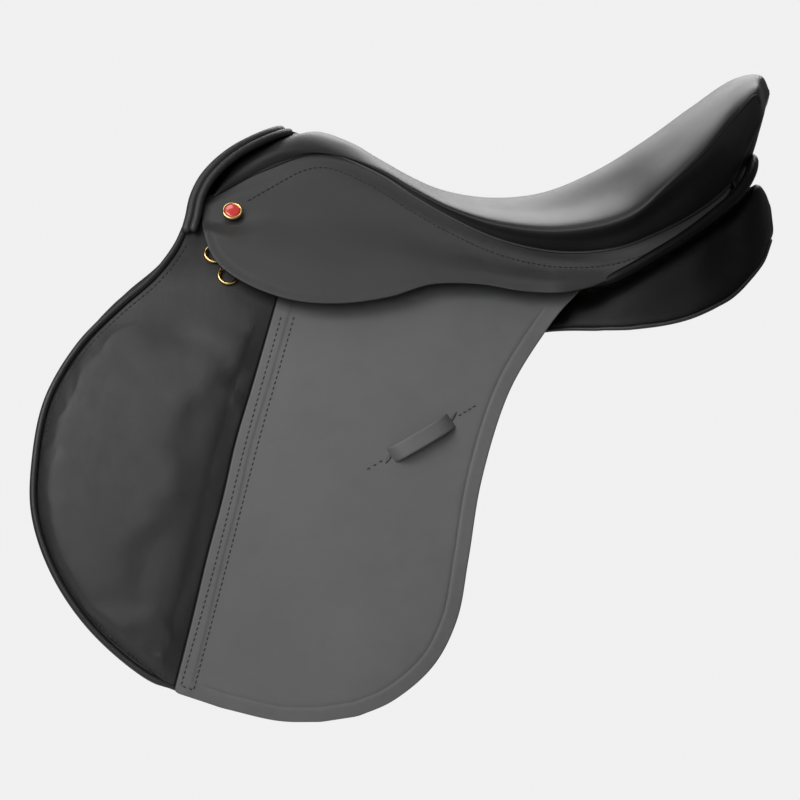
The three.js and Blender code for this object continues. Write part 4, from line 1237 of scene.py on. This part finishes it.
def make_sweat_flap():
    """The leather under the girth straps."""
    line = closed_line(SWEAT_LINE, step=4)
    return leather_sheet(line, flat_face(SWEAT[1]), flat_face(SWEAT[0]), corner=0.9, pitch=8)


def build_skirt(name, side):
    """One side's skirt, sweat flap, billets and girth web."""
    bend = skirt_bend(name)
    piece(f"{name}_skirt_leather", make_skirt(), "skirt", bend, side,
          [f"{name}_skirt", f"{name}_skirt_head"])
    row = stitch_row(skirt_stitch_line(), lambda x, z: skirt_inner(x, z) + LEATHER + 0.2)
    piece(f"{name}_skirt_stitches", joined(row), "thread", bend, side)
    piece(f"{name}_sweat_flap_leather", make_sweat_flap(), "under", "tree", side,
          [f"{name}_sweat_flap"])
    edge = closed_line(SWEAT_LINE, step=4)
    inset = edge + inward(edge) * 6
    row = stitch_row(inset[:-60], lambda x, z: SWEAT[1])
    piece(f"{name}_sweat_flap_stitches", joined(row), "thread", "tree", side)
    for place in ("front", "middle", "rear"):
        refined(f"{name}_billet_{place}", "flap_dark", f"{name}_billet_{place}", 0.5)
    refined(f"{name}_girth_web", "girth_web", "tree", 0.3)


# ---------------------------------------------------------------- panel

TOP_ROLL = [
    (68, 121, -17), (81, 120, -13), (99, 119, -4), (118, 117, 7), (137, 113, 18), (155, 107, 30),
    (171, 101, 42), (184, 94, 52), (192, 86, 61), (198, 76, 69), (202, 64, 76), (203.5, 54, 80), (203, 44, 82),
]

# the panel from front to back: x, its outer top and outer bottom corner as [out of the side surface, z], and
# the height of its inner wall, along the gullet, at its top and bottom
PANEL_HUNG = [
    (-216, (-26, -18), (-26, -38), (-6, -24)), (-209, (-17, -8), (-17, -55), (0, -26)),
    (-185, (-16, -3), (-16, -63), (2, -24)), (-115, (-16, -3), (-16, -63), (2, -20)),
    (-45, (-16, -3), (-16, -59), (2, -18)), (5, (-16, -7), (-16, -55), (2, -18)),
    (40, (-15.5, -23), (-15.5, -51), (2, -18)), (66, (-7, -30), (-7, -50), (4, -18)),
    (96, (-2, -17.5), (-2, -49), (8, -18)), (134, (0, 5), (0, -43), (16, -15)),
    (156, (2, 18), (2, -35), (24, -11)),
]
# and behind that, with [y, z] corners
PANEL_REAR = [
    (178, (92, 34), (131, -23), (36, -6)), (193, (83, 49), (118, -10), (46, 2)),
    (205, (72, 60), (101, 2), (56, 10)), (212, (64, 55), (86, 14), (52, 16)),
    (218, (56, 44), (70, 24), (42, 24)),
]
GULLET_HALF = 33
WALL_LEAN = 4.0  # how much wider the gullet is at its foot
ROLL_RADIUS = 4.7
PANEL_ROWS = 90
PANEL_COLUMNS = 56


def panel_corners():
    """Each section's eight corners, from the inner wall's top over the panel and back."""
    sections = [(x, (float(side_at(x, t[1])) + t[0], t[1]), (float(side_at(x, b[1])) + b[0], b[1]), wall)
                for x, t, b, wall in PANEL_HUNG] + PANEL_REAR
    corners = []
    for x, top, bottom, (high, low) in sections:
        top, bottom = np.array(top, float), np.array(bottom, float)
        roof, floor = np.array([GULLET_HALF, high]), np.array([GULLET_HALF + WALL_LEAN, low])
        ring = [roof, (roof + top) / 2 + (0, 2), top, (top + bottom) / 2 + (2, 0), bottom,
                (bottom + floor) / 2 - (0, 7), floor, (floor + roof) / 2 - (1, 0)]
        corners.append([[x, *corner] for corner in ring])
    return np.array(corners)


def panel_body():
    """The panel's leather, swelled by its flock, and the seam along its lower outer corner."""
    corners = panel_corners()
    lines = [run(corners[:, k], 1.0) for k in range(8)]
    rows = []
    for t in 0.5 - 0.5 * np.cos(np.linspace(0, math.pi, PANEL_ROWS)):
        ring = np.array([line[min(len(line) - 1, int(round(t * (len(line) - 1))))] for line in lines])
        loop = run(np.concatenate([ring[-2:], ring, ring[:2]]), 1.0)
        start = np.linalg.norm(loop - ring[0], axis=1)[: len(loop) // 2].argmin()
        end = len(loop) // 2 + np.linalg.norm(loop - ring[0], axis=1)[len(loop) // 2 :].argmin()
        rows.append(loop[np.linspace(start, end, PANEL_COLUMNS + 1).round().astype(int)[:-1]])
    points = np.concatenate(rows)
    faces = rings_faces(PANEL_ROWS, PANEL_COLUMNS)
    for first, row in ((0, rows[0]), ((PANEL_ROWS - 1) * PANEL_COLUMNS, rows[-1])):
        faces += [[first + k, first + (k + 1) % PANEL_COLUMNS, len(points)] for k in range(PANEL_COLUMNS)]
        points = np.concatenate([points, [row.mean(axis=0)]])
    points = swelled(points, faces, np.zeros(len(points), bool), 4.0, 3.5, slack=0.02)
    surface = BVHTree.FromPolygons(points.tolist(), faces)
    seam = [tuple(surface.find_nearest(tuple(place))[0]) for place in lines[4][::3]]
    return points, faces, run(np.array(seam)[2:-4:3], 3)


def build_panel(name, side, points, faces, seam):
    """One side's stuffed panel, with its welt and the roll above its rear end."""
    obj = mesh_object(f"{name}_panel_stuffed", points, faces, side=side)
    finer = obj.modifiers.new("finer", "SUBSURF")
    finer.levels = 1
    finer.render_levels = 1
    dress(obj, "panel")
    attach(obj, "tree")
    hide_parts(f"{name}_panel")
    piece(f"{name}_panel_welt", tube(seam, 1.5, 10), "piping", "tree", side)
    path = run(TOP_ROLL, 3)
    radii = np.full(len(path), ROLL_RADIUS)
    radii[:8] = np.linspace(1.5, ROLL_RADIUS, 8)
    radii[-5:] = np.linspace(ROLL_RADIUS, 4.2, 5)
    roll = piece(f"{name}_panel_roll", tube(path, radii, 18), "panel", "tree", side,
                 [f"{name}_panel_top_roll"])


# ---------------------------------------------------------------- metal

NAIL = {"x": -207.5, "z": 34.5, "radius": 8, "seat": 9.6}
DEES = {"upper": (-221.5, 11), "lower": (-211, -5)}
RING_RADIUS = 7
RING_WIRE = 1.2
RING_OUT = 5.6
STAPLE_WIRE = 1.0
# the staple's arch, as [out of the side surface, up]
STAPLE = [(4.1, -3.6), (7.2, -3.6), (9.2, -2), (9.8, 0), (9.2, 2), (7.2, 3.6), (4.1, 3.6)]


def build_nail(name, side):
    """The skirt's nail: a brass rim round a plain red face."""
    r, seat = NAIL["radius"], NAIL["seat"]
    rim = [(1.8, -4.6), (1.8, seat), (r - 0.6, seat), (r, seat + 0.5), (r, seat + 1.3), (r - 0.5, seat + 2),
           (r - 1.2, seat + 2.2), (r - 1.8, seat + 1.9), (r - 2, seat + 1.4)]
    dome = [(r - 1.9, seat + 1.2), (r - 2, seat + 1.9), (5, seat + 2.4), (3, seat + 2.7), (1, seat + 2.85)]
    place = NAIL["x"], NAIL["z"]
    points, faces = turned(rim, 48)
    piece(f"{name}_nail_brass", (placed_on_side(points, *place), faces), "brass", "tree", side,
          [f"{name}_skirt_nail"])
    points, faces = turned(dome, 48)
    piece(f"{name}_nail_face", (placed_on_side(points, *place), faces), "enamel", "tree", side)


def build_dee(name, side, which):
    """One ring and the staple it hangs in."""
    x, z = DEES[which]
    angles = np.linspace(0, 2 * math.pi, 72, endpoint=False)
    across, down = RING_RADIUS * np.sin(angles), RING_RADIUS * (np.cos(angles) - 1)
    circle = np.stack([across, np.full(72, RING_OUT), down], axis=1)
    body = tube(placed_on_side(circle, x, z), RING_WIRE, 14, closed=True)
    piece(f"{name}_dee_{which}_brass", body, "brass", f"{name}_dee_{which}", side,
          [f"{name}_dee_ring_{which}"])
    arch = [(0, out, up) for out, up in STAPLE]
    body = tube(placed_on_side(run(arch, 0.8), x, z), STAPLE_WIRE, 12)
    piece(f"{name}_dee_{which}_staple_brass", body, "brass", "tree", side,
          [f"{name}_dee_staple_{which}"])


def build_metal(name, side):
    """One side's nail, rings, stirrup bar with its catch, and spring."""
    build_nail(name, side)
    for which in DEES:
        build_dee(name, side, which)
    for node, look, body, slot, bevel in (
        ("stirrup_bar", "steel", "tree", "bar_steel", 0.6),
        ("bar_rivet_front", "steel", "tree", "bar_steel", 0.2),
        ("bar_rivet_rear", "steel", "tree", "bar_steel", 0.2),
        ("safety_catch", "steel", f"{name}_safety_catch", "bar_steel", 0.3),
        ("catch_pin", "steel", "tree", "bar_steel", 0.15),
        ("tree_spring", "spring", "tree", "spring_steel", 0.2),
    ):
        refined(f"{name}_{node}", look, body, bevel)


# ---------------------------------------------------------------- stage, light and camera

FLOOR_Z = -0.95
TARGET = Vector((-0.073, 0, -0.1136))
CAMERA_AZIMUTH = -3.0
CAMERA_ELEVATION = 4.5
CAMERA_DISTANCE = 2.4
LENS = 133.3
BACKGROUND = 0.876
BACKGROUND_LIGHT = 0.15


def build_stage():
    """A plain pale floor."""
    mesh = bpy.data.meshes.new("floor")
    made = bmesh.new()
    bmesh.ops.create_circle(made, cap_ends=True, segments=96, radius=2.0)
    made.to_mesh(mesh)
    made.free()
    floor = bpy.data.objects.new("floor", mesh)
    floor.location = (0, 0, FLOOR_Z)
    bpy.context.scene.collection.objects.link(floor)
    pale = bpy.data.materials.new("pale_floor")
    pale.use_nodes = True
    shader = pale.node_tree.nodes["Principled BSDF"]
    shader.inputs["Base Color"].default_value = (0.8, 0.8, 0.8, 1)
    shader.inputs["Roughness"].default_value = 0.9
    mesh.materials.append(pale)


def build_world():
    """A pale background, with less light from it than it shows."""
    world = bpy.data.worlds.new("studio")
    world.use_nodes = True
    tree = world.node_tree
    tree.nodes.clear()
    seen = tree.nodes.new("ShaderNodeBackground")
    seen.inputs["Color"].default_value = (BACKGROUND, BACKGROUND, BACKGROUND, 1)
    lit = tree.nodes.new("ShaderNodeBackground")
    lit.inputs["Color"].default_value = (1, 1, 1, 1)
    lit.inputs["Strength"].default_value = BACKGROUND_LIGHT
    path = tree.nodes.new("ShaderNodeLightPath")
    mix = tree.nodes.new("ShaderNodeMixShader")
    output = tree.nodes.new("ShaderNodeOutputWorld")
    tree.links.new(path.outputs["Is Camera Ray"], mix.inputs[0])
    tree.links.new(lit.outputs[0], mix.inputs[1])
    tree.links.new(seen.outputs[0], mix.inputs[2])
    tree.links.new(mix.outputs[0], output.inputs[0])
    bpy.context.scene.world = world


def soft_light(name, place, aim, size, power):
    """A broad lamp aimed at a point."""
    lamp = bpy.data.lights.new(name, "AREA")
    lamp.shape = "RECTANGLE"
    lamp.size, lamp.size_y = size
    lamp.energy = power
    obj = bpy.data.objects.new(name, lamp)
    obj.location = place
    obj.rotation_mode = "QUATERNION"
    obj.rotation_quaternion = (Vector(place) - Vector(aim)).to_track_quat("Z", "Y")
    bpy.context.scene.collection.objects.link(obj)


def build_lights():
    soft_light("key", (-1.6, -1.6, 1.5), (0, 0, 0), (1.6, 1.2), 47)
    soft_light("front", (-1.2, -2.6, 0.5), (-0.1, 0, -0.1), (2.0, 1.5), 27)
    soft_light("over", (-0.7, -0.1, 2.1), (0.05, 0, 0), (1.2, 1.0), 12)
    soft_light("far_side", (0.4, 2.4, 1.6), (0, 0, -0.1), (2.0, 1.6), 40)


def build_camera():
    """The camera, square to the near side and a little above it."""
    a, e = math.radians(CAMERA_AZIMUTH), math.radians(CAMERA_ELEVATION)
    back = Vector((math.sin(a) * math.cos(e), -math.cos(a) * math.cos(e), math.sin(e)))
    lens = bpy.data.cameras.new("camera")
    lens.sensor_width = 36
    lens.lens = LENS
    camera = bpy.data.objects.new("camera", lens)
    camera.location = TARGET + back * CAMERA_DISTANCE
    camera.rotation_mode = "QUATERNION"
    camera.rotation_quaternion = back.to_track_quat("Z", "Y")
    bpy.context.scene.collection.objects.link(camera)
    bpy.context.scene.camera = camera


# ---------------------------------------------------------------- the whole saddle

bpy.context.scene.view_settings.view_transform = "Standard"
build_centre()
knee_insert = swelled_insert()
stuffed_panel = panel_body()
for side_name, sign in SIDES.items():
    build_flap(side_name, sign, knee_insert)
    build_skirt(side_name, sign)
    build_panel(side_name, sign, *stuffed_panel)
    build_metal(side_name, sign)
build_stage()
build_world()
build_lights()
build_camera()
